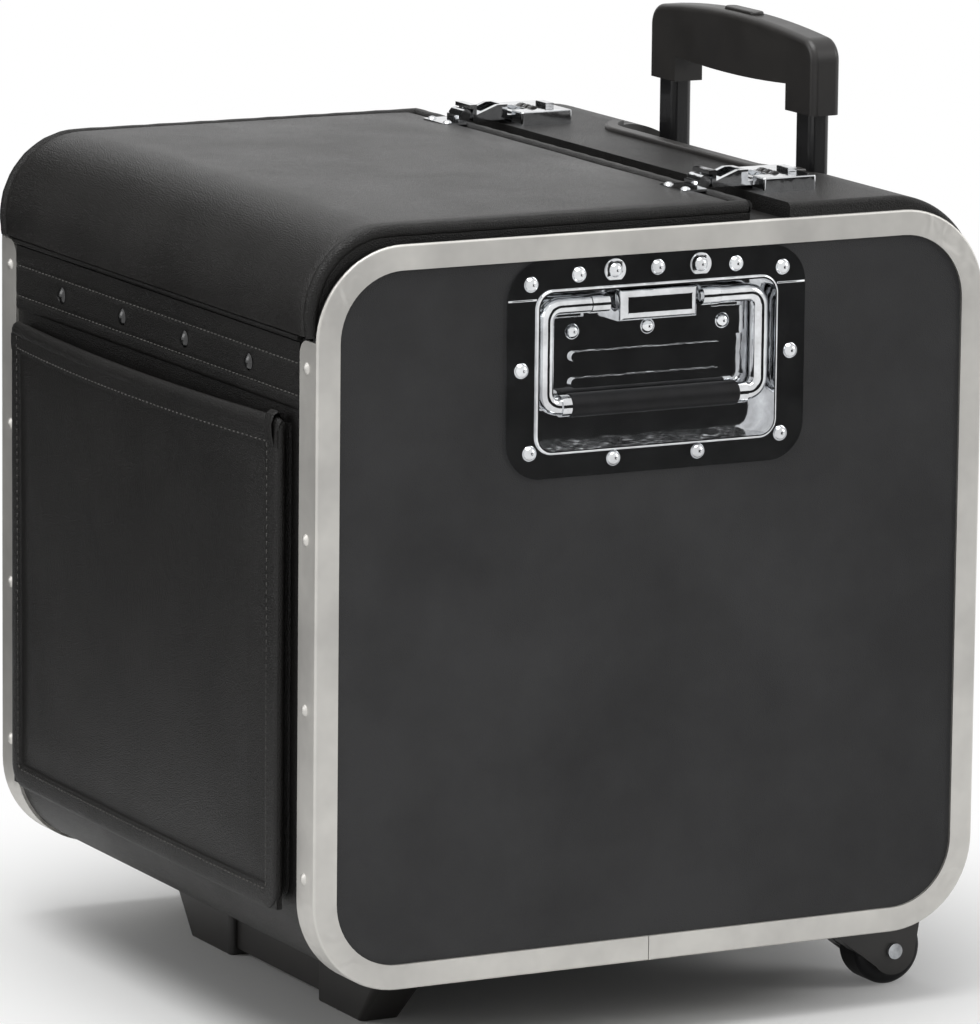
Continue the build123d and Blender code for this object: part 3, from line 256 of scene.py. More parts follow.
def stitches(name, points, ways, normals, length=2.9 * MM, radius=0.42 * MM):
    """A row of short rounded threads, one at each point, sunk a little at their ends."""
    rows = []
    for point, way, normal in zip(points, ways, normals):
        deselect()
        bpy.ops.mesh.primitive_cylinder_add(vertices=6, radius=radius, depth=length * 0.6,
                                            end_fill_type="TRIFAN")
        thread = bpy.context.object
        across = way.cross(normal).normalized()
        for vertex in thread.data.vertices:
            x, y, z = vertex.co
            tip = abs(x) < radius * 0.01 and abs(y) < radius * 0.01
            z = z * (1.65 if tip else 1.0)
            sink = radius * (1.1 if tip else 0.1)
            vertex.co = point + across * x + normal * (y - sink) + way * z
        rows.append(thread)
    return tidy_mesh(joined(name, rows), 60)


# Materials


def linear(colour):
    """Linear colour of an sRGB hex value."""
    parts = [int(colour[i:i + 2], 16) / 255 for i in (1, 3, 5)]
    return tuple(c / 12.92 if c <= 0.04045 else ((c + 0.055) / 1.055) ** 2.4 for c in parts) + (1.0,)


def put(tree, kind, links=None, **settings):
    """Add one shader node with its settings, values and links."""
    node = tree.nodes.new("ShaderNode" + kind)
    for key, value in settings.items():
        setattr(node, key, value)
    for key, value in (links or {}).items():
        if isinstance(value, bpy.types.NodeSocket):
            tree.links.new(value, node.inputs[key])
        else:
            node.inputs[key].default_value = value
    return node


def finish_named(name, values):
    """A material with its shader's plain values, and the coordinates that its patterns read."""
    material = bpy.data.materials.new(name)
    material.use_nodes = True
    tree = material.node_tree
    shader = tree.nodes["Principled BSDF"]
    for key, value in values.items():
        shader.inputs[key].default_value = value
    place = put(tree, "TexCoord").outputs["Object"]
    return tree, shader, place


def mottled(tree, shader, place, dark, light, size, low=0.35, high=0.65):
    """Colour that drifts between two near shades over patches of a real size."""
    cloud = put(tree, "TexNoise", {"Vector": place, "Scale": 1 / size, "Detail": 4.0, "Roughness": 0.6})
    ramp = put(tree, "ValToRGB", {"Fac": cloud.outputs["Fac"]})
    ramp.color_ramp.elements[0].position = low
    ramp.color_ramp.elements[1].position = high
    ramp.color_ramp.elements[0].color = linear(dark)
    ramp.color_ramp.elements[1].color = linear(light)
    tree.links.new(ramp.outputs["Color"], shader.inputs["Base Color"])
    return ramp


def rough_between(tree, shader, source, low, high):
    """Roughness that follows a pattern between two values."""
    spread_node = put(tree, "MapRange", {"Value": source, "To Min": low, "To Max": high})
    tree.links.new(spread_node.outputs["Result"], shader.inputs["Roughness"])


def bump(tree, shader, height, depth, strength=1.0):
    """Relief of a real depth on the shader."""
    relief = put(tree, "Bump", {"Height": height, "Distance": depth, "Strength": strength})
    tree.links.new(relief.outputs["Normal"], shader.inputs["Normal"])
    return relief


def shade_of(colour, factor):
    """A hex colour made lighter or darker."""
    parts = [min(255, max(0, round(int(colour[i:i + 2], 16) * factor))) for i in (1, 3, 5)]
    return "#%02x%02x%02x" % tuple(parts)


def calendered_vinyl(name, colour, pebble, depth, rough, patch):
    """Soft PVC pressed with a leather grain: pebbles with fine creases, satin, cloudy sheen."""
    tree, shader, place = finish_named(name, {"Specular IOR Level": 0.24, "IOR": 1.53})
    mottled(tree, shader, place, shade_of(colour, 0.86), shade_of(colour, 1.14), patch)
    warp = put(tree, "TexNoise", {"Vector": place, "Scale": 0.5 / pebble, "Detail": 2.0})
    lean = put(tree, "VectorMath", {0: warp.outputs["Color"], 1: (pebble * 0.8,) * 3}, operation="MULTIPLY")
    bent = put(tree, "VectorMath", {0: place, 1: lean.outputs["Vector"]}, operation="ADD").outputs["Vector"]
    cells = put(tree, "TexVoronoi", {"Vector": bent, "Scale": 1 / pebble, "Randomness": 0.9},
                feature="DISTANCE_TO_EDGE")
    top = put(tree, "MapRange", {"Value": cells.outputs["Distance"], "From Max": 0.28})
    fine = put(tree, "TexNoise", {"Vector": place, "Scale": 3 / pebble, "Detail": 3.0})
    mixed = put(tree, "Math", {0: fine.outputs["Fac"], 1: 0.25, 2: top.outputs["Result"]},
                operation="MULTIPLY_ADD")
    bump(tree, shader, mixed.outputs["Value"], depth)
    cloud = put(tree, "TexNoise", {"Vector": place, "Scale": 22.0, "Detail": 3.0})
    rough_between(tree, shader, cloud.outputs["Fac"], rough - 0.07, rough + 0.1)


def anodised_aluminium(colour):
    """Rolled aluminium band, clear anodised: even satin with fine draw lines and bending creases."""
    tree, shader, place = finish_named("anodised_aluminium", {"Metallic": 1.0})
    mottled(tree, shader, place, shade_of(colour, 0.93), shade_of(colour, 1.03), 60 * MM)
    # Draw lines 0.6 mm apart, coarser than the real ones, which would be too fine to show.
    run = put(tree, "Mapping", {"Vector": place, "Scale": (1 / 0.0006, 1 / 0.06, 1 / 0.06)})
    lines = put(tree, "TexNoise", {"Vector": run.outputs["Vector"], "Scale": 1.0, "Detail": 2.0})
    axes = put(tree, "SeparateXYZ", {"Vector": place})
    # The creases lie only where the band was bent round the four corners.
    masks = []
    extents = (("Y", CASE_Y, CASE_HALF), ("Z", (GROUND + CASE_TOP) / 2, (CASE_TOP - GROUND) / 2))
    for axis, middle, half in extents:
        away = put(tree, "Math", {0: axes.outputs[axis], 1: middle}, operation="SUBTRACT")
        far = put(tree, "Math", {0: away.outputs["Value"]}, operation="ABSOLUTE")
        masks.append(put(tree, "MapRange", {"Value": far.outputs["Value"], "From Min": half - 50 * MM,
                                            "From Max": half - 28 * MM}).outputs["Result"])
    corner = put(tree, "Math", {0: masks[0], 1: masks[1]}, operation="MULTIPLY")
    creases = put(tree, "TexNoise", {"Vector": place, "Scale": 1 / 0.011, "Detail": 1.0, "Distortion": 0.6})
    folded = put(tree, "Math", {0: creases.outputs["Fac"], 1: corner.outputs["Value"]}, operation="MULTIPLY")
    fold = put(tree, "Bump", {"Height": folded.outputs["Value"], "Distance": 2.2 * MM, "Strength": 0.55})
    fine = bump(tree, shader, lines.outputs["Fac"], 0.02 * MM, 0.5)
    tree.links.new(fold.outputs["Normal"], fine.inputs["Normal"])
    rough_between(tree, shader, lines.outputs["Fac"], 0.44, 0.58)


def chrome_plate(colour):
    """Bright nickel-chrome on pressed steel: mirror with finger smears and faint orange peel."""
    tree, shader, place = finish_named("chrome_plate", {"Metallic": 1.0})
    mottled(tree, shader, place, shade_of(colour, 0.9), shade_of(colour, 1.04), 18 * MM)
    smear = put(tree, "TexNoise", {"Vector": place, "Scale": 1 / 0.014, "Detail": 5.0, "Roughness": 0.7})
    rough_between(tree, shader, smear.outputs["Fac"], 0.03, 0.14)
    peel = put(tree, "TexNoise", {"Vector": place, "Scale": 1 / 0.005, "Detail": 1.0})
    bump(tree, shader, peel.outputs["Fac"], 0.09 * MM)


def zinc_plate(colour):
    """Drawn steel with a dull zinc plate: soft metal, cloudy, with short scratches."""
    tree, shader, place = finish_named("zinc_plate", {"Metallic": 1.0})
    mottled(tree, shader, place, shade_of(colour, 0.82), shade_of(colour, 1.06), 9 * MM)
    run = put(tree, "Mapping", {"Vector": place, "Scale": (1 / 0.0007, 1 / 0.012, 1 / 0.004)})
    scratch = put(tree, "TexNoise", {"Vector": run.outputs["Vector"], "Scale": 1.0, "Detail": 3.0})
    rough_between(tree, shader, scratch.outputs["Fac"], 0.24, 0.48)
    bump(tree, shader, scratch.outputs["Fac"], 0.02 * MM)


def moulded_abs(colour):
    """Injection-moulded ABS with a spark-eroded mould texture: even, low satin."""
    tree, shader, place = finish_named("moulded_abs", {"IOR": 1.54, "Specular IOR Level": 0.45})
    mottled(tree, shader, place, shade_of(colour, 0.88), shade_of(colour, 1.16), 35 * MM)
    # Mould grit 0.5 mm across, twice the real size, so that it shows.
    grit = put(tree, "TexNoise", {"Vector": place, "Scale": 1 / 0.0005, "Detail": 2.0})
    bump(tree, shader, grit.outputs["Fac"], 0.035 * MM)
    worn = put(tree, "TexNoise", {"Vector": place, "Scale": 1 / 0.03, "Detail": 4.0})
    rough_between(tree, shader, worn.outputs["Fac"], 0.3, 0.5)


def powder_coat(colour):
    """Powder-coated steel tube: smooth gloss-black coat with orange peel and rub lines."""
    coat = {"IOR": 1.5, "Coat Weight": 0.35, "Coat Roughness": 0.12}
    tree, shader, place = finish_named("powder_coat", coat)
    mottled(tree, shader, place, shade_of(colour, 0.9), shade_of(colour, 1.2), 40 * MM)
    peel = put(tree, "TexNoise", {"Vector": place, "Scale": 1 / 0.0016, "Detail": 1.0})
    bump(tree, shader, peel.outputs["Fac"], 0.03 * MM)
    run = put(tree, "Mapping", {"Vector": place, "Scale": (1 / 0.0009, 1 / 0.0009, 1 / 0.09)})
    rub = put(tree, "TexNoise", {"Vector": run.outputs["Vector"], "Scale": 1.0, "Detail": 3.0})
    rough_between(tree, shader, rub.outputs["Fac"], 0.22, 0.4)


def black_enamel(colour):
    """Rivet heads dipped in black enamel: glossy, with tiny chips of dull grey."""
    coat = {"IOR": 1.5, "Coat Weight": 0.5, "Coat Roughness": 0.08}
    tree, shader, place = finish_named("black_enamel", coat)
    ramp = mottled(tree, shader, place, colour, "#4a4a48", 1.4 * MM, 0.62, 0.8)
    rough_between(tree, shader, ramp.outputs["Color"], 0.26, 0.6)
    peel = put(tree, "TexNoise", {"Vector": place, "Scale": 1 / 0.001, "Detail": 1.0})
    bump(tree, shader, peel.outputs["Fac"], 0.03 * MM)


def natural_rubber(colour):
    """Moulded rubber: deep, dull, with a dusty bloom and a fine matt skin."""
    tree, shader, place = finish_named("natural_rubber", {"IOR": 1.52, "Specular IOR Level": 0.2})
    mottled(tree, shader, place, shade_of(colour, 0.85), shade_of(colour, 1.2), 12 * MM)
    skin = put(tree, "TexNoise", {"Vector": place, "Scale": 1 / 0.0007, "Detail": 2.0})
    bump(tree, shader, skin.outputs["Fac"], 0.05 * MM)
    bloom = put(tree, "TexNoise", {"Vector": place, "Scale": 1 / 0.02, "Detail": 4.0})
    rough_between(tree, shader, bloom.outputs["Fac"], 0.42, 0.62)


def pressed_felt(colour):
    """Needled felt over board: short fibres in all directions, no shine but a soft nap."""
    tree, shader, place = finish_named("pressed_felt", {"Sheen Weight": 0.4, "Sheen Roughness": 0.5})
    mottled(tree, shader, place, shade_of(colour, 0.8), shade_of(colour, 1.25), 2.5 * MM)
    fibre = put(tree, "TexNoise", {"Vector": place, "Scale": 1 / 0.0009, "Detail": 5.0, "Distortion": 2.0})
    bump(tree, shader, fibre.outputs["Fac"], 0.35 * MM)
    rough_between(tree, shader, fibre.outputs["Fac"], 0.8, 0.95)


def waxed_thread(colour):
    """Bonded nylon thread: twisted plies 0.5 mm apart with a slight wax shine."""
    tree, shader, place = finish_named("waxed_thread", {"IOR": 1.53})
    mottled(tree, shader, place, shade_of(colour, 0.75), shade_of(colour, 1.25), 1.2 * MM)
    turn = put(tree, "Mapping", {"Vector": place, "Rotation": (0, radians(35), radians(35))})
    ply = put(tree, "TexWave", {"Vector": turn.outputs["Vector"], "Scale": 1 / 0.0032, "Distortion": 1.0})
    bump(tree, shader, ply.outputs["Fac"], 0.12 * MM)
    rough_between(tree, shader, ply.outputs["Fac"], 0.45, 0.65)


class CASE_OT_finishes(bpy.types.Operator):
    """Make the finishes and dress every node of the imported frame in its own"""

    bl_idname = "case.finishes"
    bl_label = "Finishes"

    def execute(self, context):
        sizes, colours = context.scene.case_sizes, context.scene.case_colours
        calendered_vinyl("grained_vinyl", colours.vinyl, sizes.grain, 0.16 * MM, 0.42, 70 * MM)
        calendered_vinyl("lid_vinyl", colours.lid_vinyl, sizes.grain, 0.15 * MM, 0.36, 90 * MM)
        calendered_vinyl("fine_vinyl", colours.end_vinyl, sizes.grain * 0.75, 0.1 * MM, 0.6, 110 * MM)
        anodised_aluminium(colours.aluminium)
        chrome_plate(colours.chrome)
        zinc_plate(colours.steel)
        moulded_abs(colours.plastic)
        powder_coat(colours.tube)
        black_enamel("#0d0d0d")
        natural_rubber(colours.rubber)
        pressed_felt(colours.lining)
        waxed_thread(colours.thread)
        finish_of = {
            "black_vinyl": "grained_vinyl", "end_vinyl": "fine_vinyl", "aluminium": "anodised_aluminium",
            "chrome": "chrome_plate", "black_rivet": "black_enamel", "black_tube": "powder_coat",
            "black_plastic": "moulded_abs", "rubber": "natural_rubber", "lining": "pressed_felt",
            "steel": "zinc_plate",
        }
        for row in frame["record"]["subparts"]:
            node = frame["nodes"][row["node"]]
            node.data.materials.clear()
            node.data.materials.append(bpy.data.materials[finish_of[row["material_slot"]]])
        return {"FINISHED"}


# Lid


def lid_profile():
    """Outer line of the lid's section from its front foot over the bend to its rear edge."""
    foot = Vector((FRONT - LID_FOOT_OUT, HINGE_Z + LID_FOOT_GAP))
    corner = Vector((FRONT - LID_LEAN, LID_HIGH[2]))
    up = (corner - foot).normalized()
    turn = pi / 2 + atan2(LID_LEAN - LID_FOOT_OUT, corner.y - foot.y)
    reach = LID_R * tan(turn / 2)
    start = corner - up * reach
    centre = start + Vector((up.y, -up.x)) * LID_R
    line = [foot.lerp(start, t) for t in (0, 0.5)]
    spoke = start - centre
    for i in range(17):
        angle = -turn * i / 16
        line.append(centre + Vector((spoke.x * cos(angle) - spoke.y * sin(angle),
                                     spoke.x * sin(angle) + spoke.y * cos(angle))))
    line += [Vector((y, LID_HIGH[2])) for y in spread(line[-1].x, LID_HIGH[1], 26)[1:]]
    return line


def lid_inner():
    """Inner line of the lid's section, from the rear edge back to the foot."""
    bend = Vector((FRONT + CORNER_R, CASE_TOP - CORNER_R))
    line = [Vector((y, LID_UNDER)) for y in spread(LID_HIGH[1], bend.x, 14)]
    last = pi - asin(LID_FOOT_RISE / LID_INNER_R)
    for angle in spread(pi / 2, last, 13)[1:]:
        line.append(bend + Vector((cos(angle), sin(angle))) * LID_INNER_R)
    return line


def out_of(line, i):
    """Outward normal of a section's line at one of its points."""
    way = (line[min(i + 1, len(line) - 1)] - line[max(i - 1, 0)]).normalized()
    return Vector((-way.y, way.x))


class CASE_OT_lid(bpy.types.Operator):
    """Padded lid cover, its rolled edges and its end cheeks"""

    bl_idname = "case.lid"
    bl_label = "Lid"

    def execute(self, context):
        sizes = context.scene.case_sizes
        outer, inner = lid_profile(), lid_inner()
        half = LID_HIGH[0] - 0.2 * MM
        xs = [half * sin(pi / 2 * t) for t in spread(-1, 1, 49)]
        count = len(outer)

        def padded(station, u, v):
            x = xs[station]
            if v > 0.5:
                point = inner[round(u)]
                return (x, point.x, point.y)
            i = round(u)
            point, normal = outer[i], out_of(outer, i)
            along = i / (count - 1)
            width = 1 - abs(x / half) ** 3
            rise = sizes.lid_crown * width * ease(along / 0.35) * ease((1 - along) / 0.12)
            edge = max(0.0, 1 - (half - abs(x)) / (7 * MM))
            rear = max(0.0, 1 - (1 - along) * (count - 1) / 1.5)
            rise -= 2.4 * MM * max(edge, rear) ** 2
            rise += 0.35 * MM * noise.noise(Vector((x, point.x, point.y)) * 16) * (1 - edge)
            bow = LID_REAR_BOW * width * ease((along - 0.8) / 0.2)
            return (x, point.x + normal.x * rise + bow, point.y + normal.y * rise)

        section = [(float(i), 0.0) for i in range(count)] + [(float(i), 1.0) for i in range(len(inner))]
        pad = swept("lid_pad", section, len(xs), padded)
        settle(pad, "lid", "black_vinyl", "lid_vinyl", "lid_panel")

        radius = sizes.lid_roll
        proud = EDGE_HIGH[2] - LID_HIGH[2]
        ring = [(radius * cos(a), radius * sin(a)) for a in spread(0, 2 * pi, 13)[:-1]]

        def end_roll(station, u, v):
            point, normal = outer[station], out_of(outer, station)
            deep = proud - radius
            ripple = 0.12 * MM * sin(station * 2.4)
            y = point.x + normal.x * (deep + v + ripple)
            z = point.y + normal.y * (deep + v + ripple)
            return (EDGE_HIGH[0] - radius + u, y, z)

        rolls = [swept("roll", ring, count, end_roll)]
        rolls.append(mirrored(rolls[0], "roll_left"))
        rear_xs = spread(-EDGE_HIGH[0] + radius, EDGE_HIGH[0] - radius, 61)

        def rear_roll(station, u, v):
            x = rear_xs[station]
            bow = LID_REAR_BOW * (1 - abs(x / half) ** 3)
            ripple = 0.12 * MM * sin(station * 2.1)
            y = EDGE_HIGH[1] - radius + bow + u + ripple
            return (x, y, EDGE_HIGH[2] - radius + v + ripple)

        rolls.append(swept("roll_rear", ring, len(rear_xs), rear_roll))

        def cheek(station, u, v):
            x = (LID_HIGH[0] - 0.4 * MM, EDGE_HIGH[0] - 1.4 * MM)[station]
            if v > 0.5:
                point = inner[round(u)]
                return (x, point.x, point.y)
            i = round(u)
            point, normal = outer[i], out_of(outer, i)
            return (x, point.x - normal.x * radius, point.y - normal.y * radius)

        cheeks = [swept("cheek", section, 2, cheek)]
        cheeks.append(mirrored(cheeks[0], "cheek_left"))

        def rear_cheek(station, u, v):
            x = rear_xs[station]
            bow = LID_REAR_BOW * (1 - abs(x / half) ** 3)
            return (x, LID_HIGH[1] - 0.4 * MM + bow + u, v)

        low, high = LID_UNDER, EDGE_HIGH[2] - radius
        board = [(0, low), (LID_EDGE_T - 1.2 * MM, low), (LID_EDGE_T - 0.8 * MM, low + 1 * MM),
                 (LID_EDGE_T - 0.8 * MM, high), (0, high)]
        cheeks.append(swept("cheek_rear", board, len(rear_xs), rear_cheek))
        edge = joined("lid_rolled_edge", rolls + cheeks)
        settle(edge, "lid", "black_vinyl", "grained_vinyl", "lid_binding")
        return {"FINISHED"}


# Hinge strip


class CASE_OT_hinge_strip(bpy.types.Operator):
    """Stitched vinyl strip under the lid's front edge, with its rolled bead"""

    bl_idname = "case.hinge_strip"
    bl_label = "Hinge strip"

    def execute(self, context):
        sizes = context.scene.case_sizes
        low, high = STRIP_LOW[2], HINGE_Z
        zs = spread(low, high - 2.2 * MM, 34)
        half = STRIP_HIGH[0]
        xs = spread(-half, half, 121)
        section = [(float(i), 0.0) for i in range(len(zs))] + [(0.0, 1.0), (0.0, 2.0)]

        def strip(station, u, v):
            x = xs[station]
            if v > 0.5:
                return (x, WALL_FACE, zs[-1] if v < 1.5 else zs[0])
            z = zs[round(u)]
            proud = STRIP_T
            for seam in STRIP_SEAMS:
                proud -= 0.55 * MM * max(0.0, 1 - abs(z - seam) / (1.8 * MM))
            pillow = sin(pi * (z - low) / (high - low))
            proud += 0.25 * MM * pillow * noise.noise(Vector((x * 30, z * 60, 0)))
            for centre in STRIP_RIVET_XS:
                away = sqrt((x - centre) ** 2 + (z - STRIP_RIVET_Z) ** 2)
                proud -= 0.4 * MM * (max(0.0, 1 - away / (8 * MM)) if away > STRIP_RIVET_R else 1.0)
            hem = min(1.0, (z - low) / (1.2 * MM))
            return (x, WALL_FACE - proud * (0.35 + 0.65 * hem), z)

        def roll(station, u, v):
            x = xs[station]
            return (x, WALL_FACE - STRIP_T + u, HINGE_Z + v)

        pieces = [swept("strip", section, len(xs), strip)]
        ring = [(STRIP_T * cos(a), STRIP_T * sin(a)) for a in spread(0, 2 * pi, 15)[:-1]]
        pieces.append(swept("bead", ring, len(xs), roll))
        piece = joined("hinge_strip_cover", pieces)
        settle(piece, "case", "black_vinyl", "grained_vinyl", "hinge_strip")

        points, ways, normals = [], [], []
        end = half - 4 * MM
        for seam in STRIP_SEAMS:
            for x in spread(-end, end, round(2 * end / sizes.stitch_pitch)):
                points.append(Vector((x, WALL_FACE - STRIP_T + 0.25 * MM, seam)))
                ways.append(Vector((1, 0, 0)))
                normals.append(Vector((0, -1, 0)))
        row = stitches("hinge_strip_stitches", points, ways, normals)
        settle(row, "case", "black_vinyl", "waxed_thread")
        return {"FINISHED"}


# Front pocket


def pocket_y(x, z, depth):
    """Y of the pocket's bowed sheet at a place and a depth out from the wall."""
    share = (z - POCKET_LOW[2]) / (POCKET_HIGH[2] - POCKET_LOW[2])
    bow = POCKET_BOW_LOW + (POCKET_BOW_TOP - POCKET_BOW_LOW) * share
    return WALL_FACE - depth - bow * (1 - (x / POCKET_HALF) ** 2)


def pocket_edge(inset, corner, count=9):
    """The U of the pocket's sides and bottom, from the left top to the right top, with its normals."""
    half, low, high = POCKET_HALF - inset, POCKET_LOW[2] + inset, POCKET_HIGH[2]
    line = [((-half, z), (1, 0)) for z in spread(high, low + corner, 22)[:-1]]
    for a in spread(pi, 1.5 * pi, count):
        line.append(((-half + corner + corner * cos(a), low + corner + corner * sin(a)), (-cos(a), -sin(a))))
    line += [((x, low), (0, 1)) for x in spread(-half + corner, half - corner, 34)[1:-1]]
    for a in spread(1.5 * pi, 2 * pi, count):
        line.append(((half - corner + corner * cos(a), low + corner + corner * sin(a)), (-cos(a), -sin(a))))
    line += [((half, z), (-1, 0)) for z in spread(low + corner, high, 22)[1:]]
    return line


class CASE_OT_pocket(bpy.types.Operator):
    """Padded front pocket with its binding, rolled mouth, folded gusset and tab"""

    bl_idname = "case.pocket"
    bl_label = "Front pocket"

    def execute(self, context):
        sizes = context.scene.case_sizes
        inset = 0.6 * MM
        half = POCKET_HALF - inset
        xs = spread(-half, half, 45)
        zs = spread(POCKET_LOW[2] + inset, POCKET_HIGH[2], 37)
        hem = sizes.binding_width

        def panel(station, u, v):
            z, x = zs[station], xs[round(u)]
            if v > 0.5:
                return (x, pocket_y(x, z, POCKET_BACK), z)
            inside = min(half - abs(x), z - zs[0], zs[-1] - z + 4 * MM)
            fill = sizes.pocket_fill * ease((inside - hem * 0.8) / (20 * MM))
            fill += 0.5 * MM * noise.noise(Vector((x * 11, 3.0, z * 11))) * ease(inside / (30 * MM))
            return (x, pocket_y(x, z, POCKET_FACE + fill), z)

        count = len(xs)
        section = [(float(i), 0.0) for i in range(count)] + [(float(i), 1.0) for i in reversed(range(count))]
        pad = swept("pocket_pad", section, len(zs), panel)
        settle(pad, "case", "black_vinyl", "grained_vinyl", "pocket_panel")

        line = pocket_edge(0.0, POCKET_CORNER_R)
        # The binding's section round the panel's edge, as inset and depth in millimetres
        cross = [(0.2, 4.4), (-0.5, 5.4), (-0.7, 6.8), (-0.2, 8.2), (0.9, 8.9), (3.0, 9.1), (6.5, 9.15),
                 (10.0, 9.0), (11.8, 8.6), (12.5, 7.4), (12.0, 6.6), (1.4, 6.6), (1.2, 4.4)]

        def bound(station, u, v):
            (x, z), (nx, nz) = line[station]
            ripple = 0.18 * MM * noise.noise(Vector((x * 40, z * 40, 7.0)))
            px, pz = x + nx * u, z + nz * u
            return (px, pocket_y(px, pz, v + ripple), pz)

        binding = swept("binding", [(u * MM, v * MM) for u, v in cross], len(line), bound)
        ends = spread(-POCKET_HALF - 0.4 * MM, POCKET_HALF + 0.4 * MM, 61)
        roll = [(4.6 * MM * cos(a), 3.1 * MM * sin(a)) for a in spread(0, 2 * pi, 17)[:-1]]

        def mouth(station, u, v):
            x = ends[station]
            taper = min(1.0, 0.55 + 0.45 * sqrt(max(0.0, (ends[-1] - abs(x)) / (3 * MM))))
            z = POCKET_HIGH[2] - 0.6 * MM + u * taper
            clipped = max(-POCKET_HALF, min(POCKET_HALF, x))
            return (x, pocket_y(clipped, POCKET_HIGH[2], 6.4 * MM + v * taper), z)

        top = swept("mouth", roll, len(ends), mouth)
        # The binding's flat half on the pocket's face, below the rolled mouth
        flap = [(-3.0, 7.4), (-3.0, 9.1), (-8.0, 9.2), (-12.0, 8.9), (-12.6, 7.4)]

        def hemmed(station, u, v):
            x = ends[station]
            clipped = max(-POCKET_HALF, min(POCKET_HALF, x))
            z = POCKET_HIGH[2] + u
            return (clipped, pocket_y(clipped, z, v), z)

        flat = swept("hem", [(u * MM, v * MM) for u, v in flap], len(ends), hemmed)
        piece = joined("pocket_edge_binding", [binding, top, flat])
        settle(piece, "case", "black_vinyl", "grained_vinyl", "pocket_binding")

        # Folded side and bottom walls, in a shallow V towards the inside
        fold = [(0.0, 0.0), (3.4, 2.3), (0.0, 4.9), (-1.2, 4.9), (2.0, 2.3), (-1.2, 0.0)]
        side = pocket_edge(3.0 * MM, POCKET_CORNER_R)

        def gusset(station, u, v):
            (x, z), (nx, nz) = side[station]
            return (x + nx * u, WALL_FACE - v, z + nz * u)

        folded = swept("pocket_folds", [(u * MM, v * MM) for u, v in fold], len(side), gusset)
        settle(folded, "case", "black_vinyl", "grained_vinyl", "pocket_gusset")

        points, ways, normals = [], [], []
        seam = pocket_edge(POCKET_SEAM_INSET, 4 * MM)
        path = [Vector((x, pocket_y(x, z, 9.05 * MM), z)) for (x, z), _ in seam]
        spare = 0.0
        for start, end in zip(path, path[1:]):
            length = (end - start).length
            while spare < length:
                points.append(start.lerp(end, spare / length))
                ways.append((end - start).normalized())
                normals.append(Vector((0, -1, 0)))
                spare += sizes.stitch_pitch
            spare -= length
        end = POCKET_HALF - POCKET_CORNER_R
        for x in spread(-end, end, round(2 * end / sizes.stitch_pitch)):
            z = POCKET_HIGH[2] - POCKET_SEAM_INSET
            points.append(Vector((x, pocket_y(x, z, POCKET_SEAM_DEPTH), z)))
            ways.append(Vector((1, 0, 0)))
            normals.append(Vector((0, -1, 0)))
        row = stitches("pocket_stitches", points, ways, normals)
        settle(row, "case", "black_vinyl", "waxed_thread")

        # The tab's loop from the face over the mouth to the back, as depth and rise in millimetres
        tab_line = [(8.6, -11.0), (9.8, -6.0), (10.2, 0.0), (8.6, 4.6),
                    (6.4, 5.9), (4.2, 5.0), (3.2, 1.0), (3.0, -4.0)]
        strap = [(-4.0, 0.0), (-3.4, 0.7), (3.4, 0.7), (4.0, 0.0), (3.4, -0.5), (-3.4, -0.5)]
        tab_x = POCKET_HALF - 7 * MM

        def tab(station, u, v):
            depth, rise = tab_line[station]
            ahead = tab_line[min(station + 1, len(tab_line) - 1)]
            behind = tab_line[max(station - 1, 0)]
            way = Vector((ahead[0] - behind[0], ahead[1] - behind[1])).normalized()
            depth += way.y * v
            rise -= way.x * v
            z = POCKET_HIGH[2] + rise * MM
            return (tab_x + u * MM, pocket_y(tab_x, POCKET_HIGH[2], depth * MM), z)

        loop = swept("pocket_tab", strap, len(tab_line), tab)
        settle(loop, "case", "black_vinyl", "grained_vinyl")
        return {"FINISHED"}


# Metal details


class CASE_OT_handle_details(bpy.types.Operator):
    """Washers under two top rivets of each end handle and the lapped seams of its plate"""

    bl_idname = "case.handle_details"
    bl_label = "Handle details"

    def execute(self, context):
        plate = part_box("end_panel_right")[1][0] + PLATE_T
        discs = []
        for y in (-WASHER_Y, WASHER_Y):
            deselect()
            bpy.ops.mesh.primitive_cylinder_add(vertices=40, radius=WASHER_R, depth=0.7 * MM,
                                                location=(plate + 0.35 * MM, CASE_Y + y, WASHER_Z),
                                                rotation=(0, pi / 2, 0))
            disc = bpy.context.object
            bpy.ops.object.transform_apply(location=True, rotation=True, scale=True)
            bpy.ops.object.mode_set(mode="EDIT")
            bpy.ops.mesh.select_all(action="SELECT")
            bpy.ops.mesh.bisect(plane_co=(0, 0, WASHER_Z - WASHER_CUT), plane_no=(0, 0, 1),
                                clear_inner=True, use_fill=True)
            bpy.ops.object.mode_set(mode="OBJECT")
            bevel = disc.modifiers.new("round", "BEVEL")
            bevel.width, bevel.segments = 0.25 * MM, 2
            bpy.ops.object.modifier_apply(modifier=bevel.name)
            discs.append(disc)
        seams = []
        for y in (-LAP_Y, LAP_Y):
            deselect()
            bpy.ops.mesh.primitive_cube_add(size=1, location=(plate + 0.15 * MM, CASE_Y + y, LAP_Z))
            lap = bpy.context.object
            bpy.ops.transform.resize(value=LAP_SIZE)
            bpy.ops.object.transform_apply(location=True, rotation=True, scale=True)
            bevel = lap.modifiers.new("round", "BEVEL")
            bevel.width, bevel.segments = 0.2 * MM, 2
            bpy.ops.object.modifier_apply(modifier=bevel.name)
            seams.append(lap)
        right = tidy_mesh(joined("handle_washers_right", discs + seams))
        left = mirrored(right, "handle_washers_left")
        for piece in (right, left):
            settle(piece, "case", "chrome", "chrome_plate")
        return {"FINISHED"}


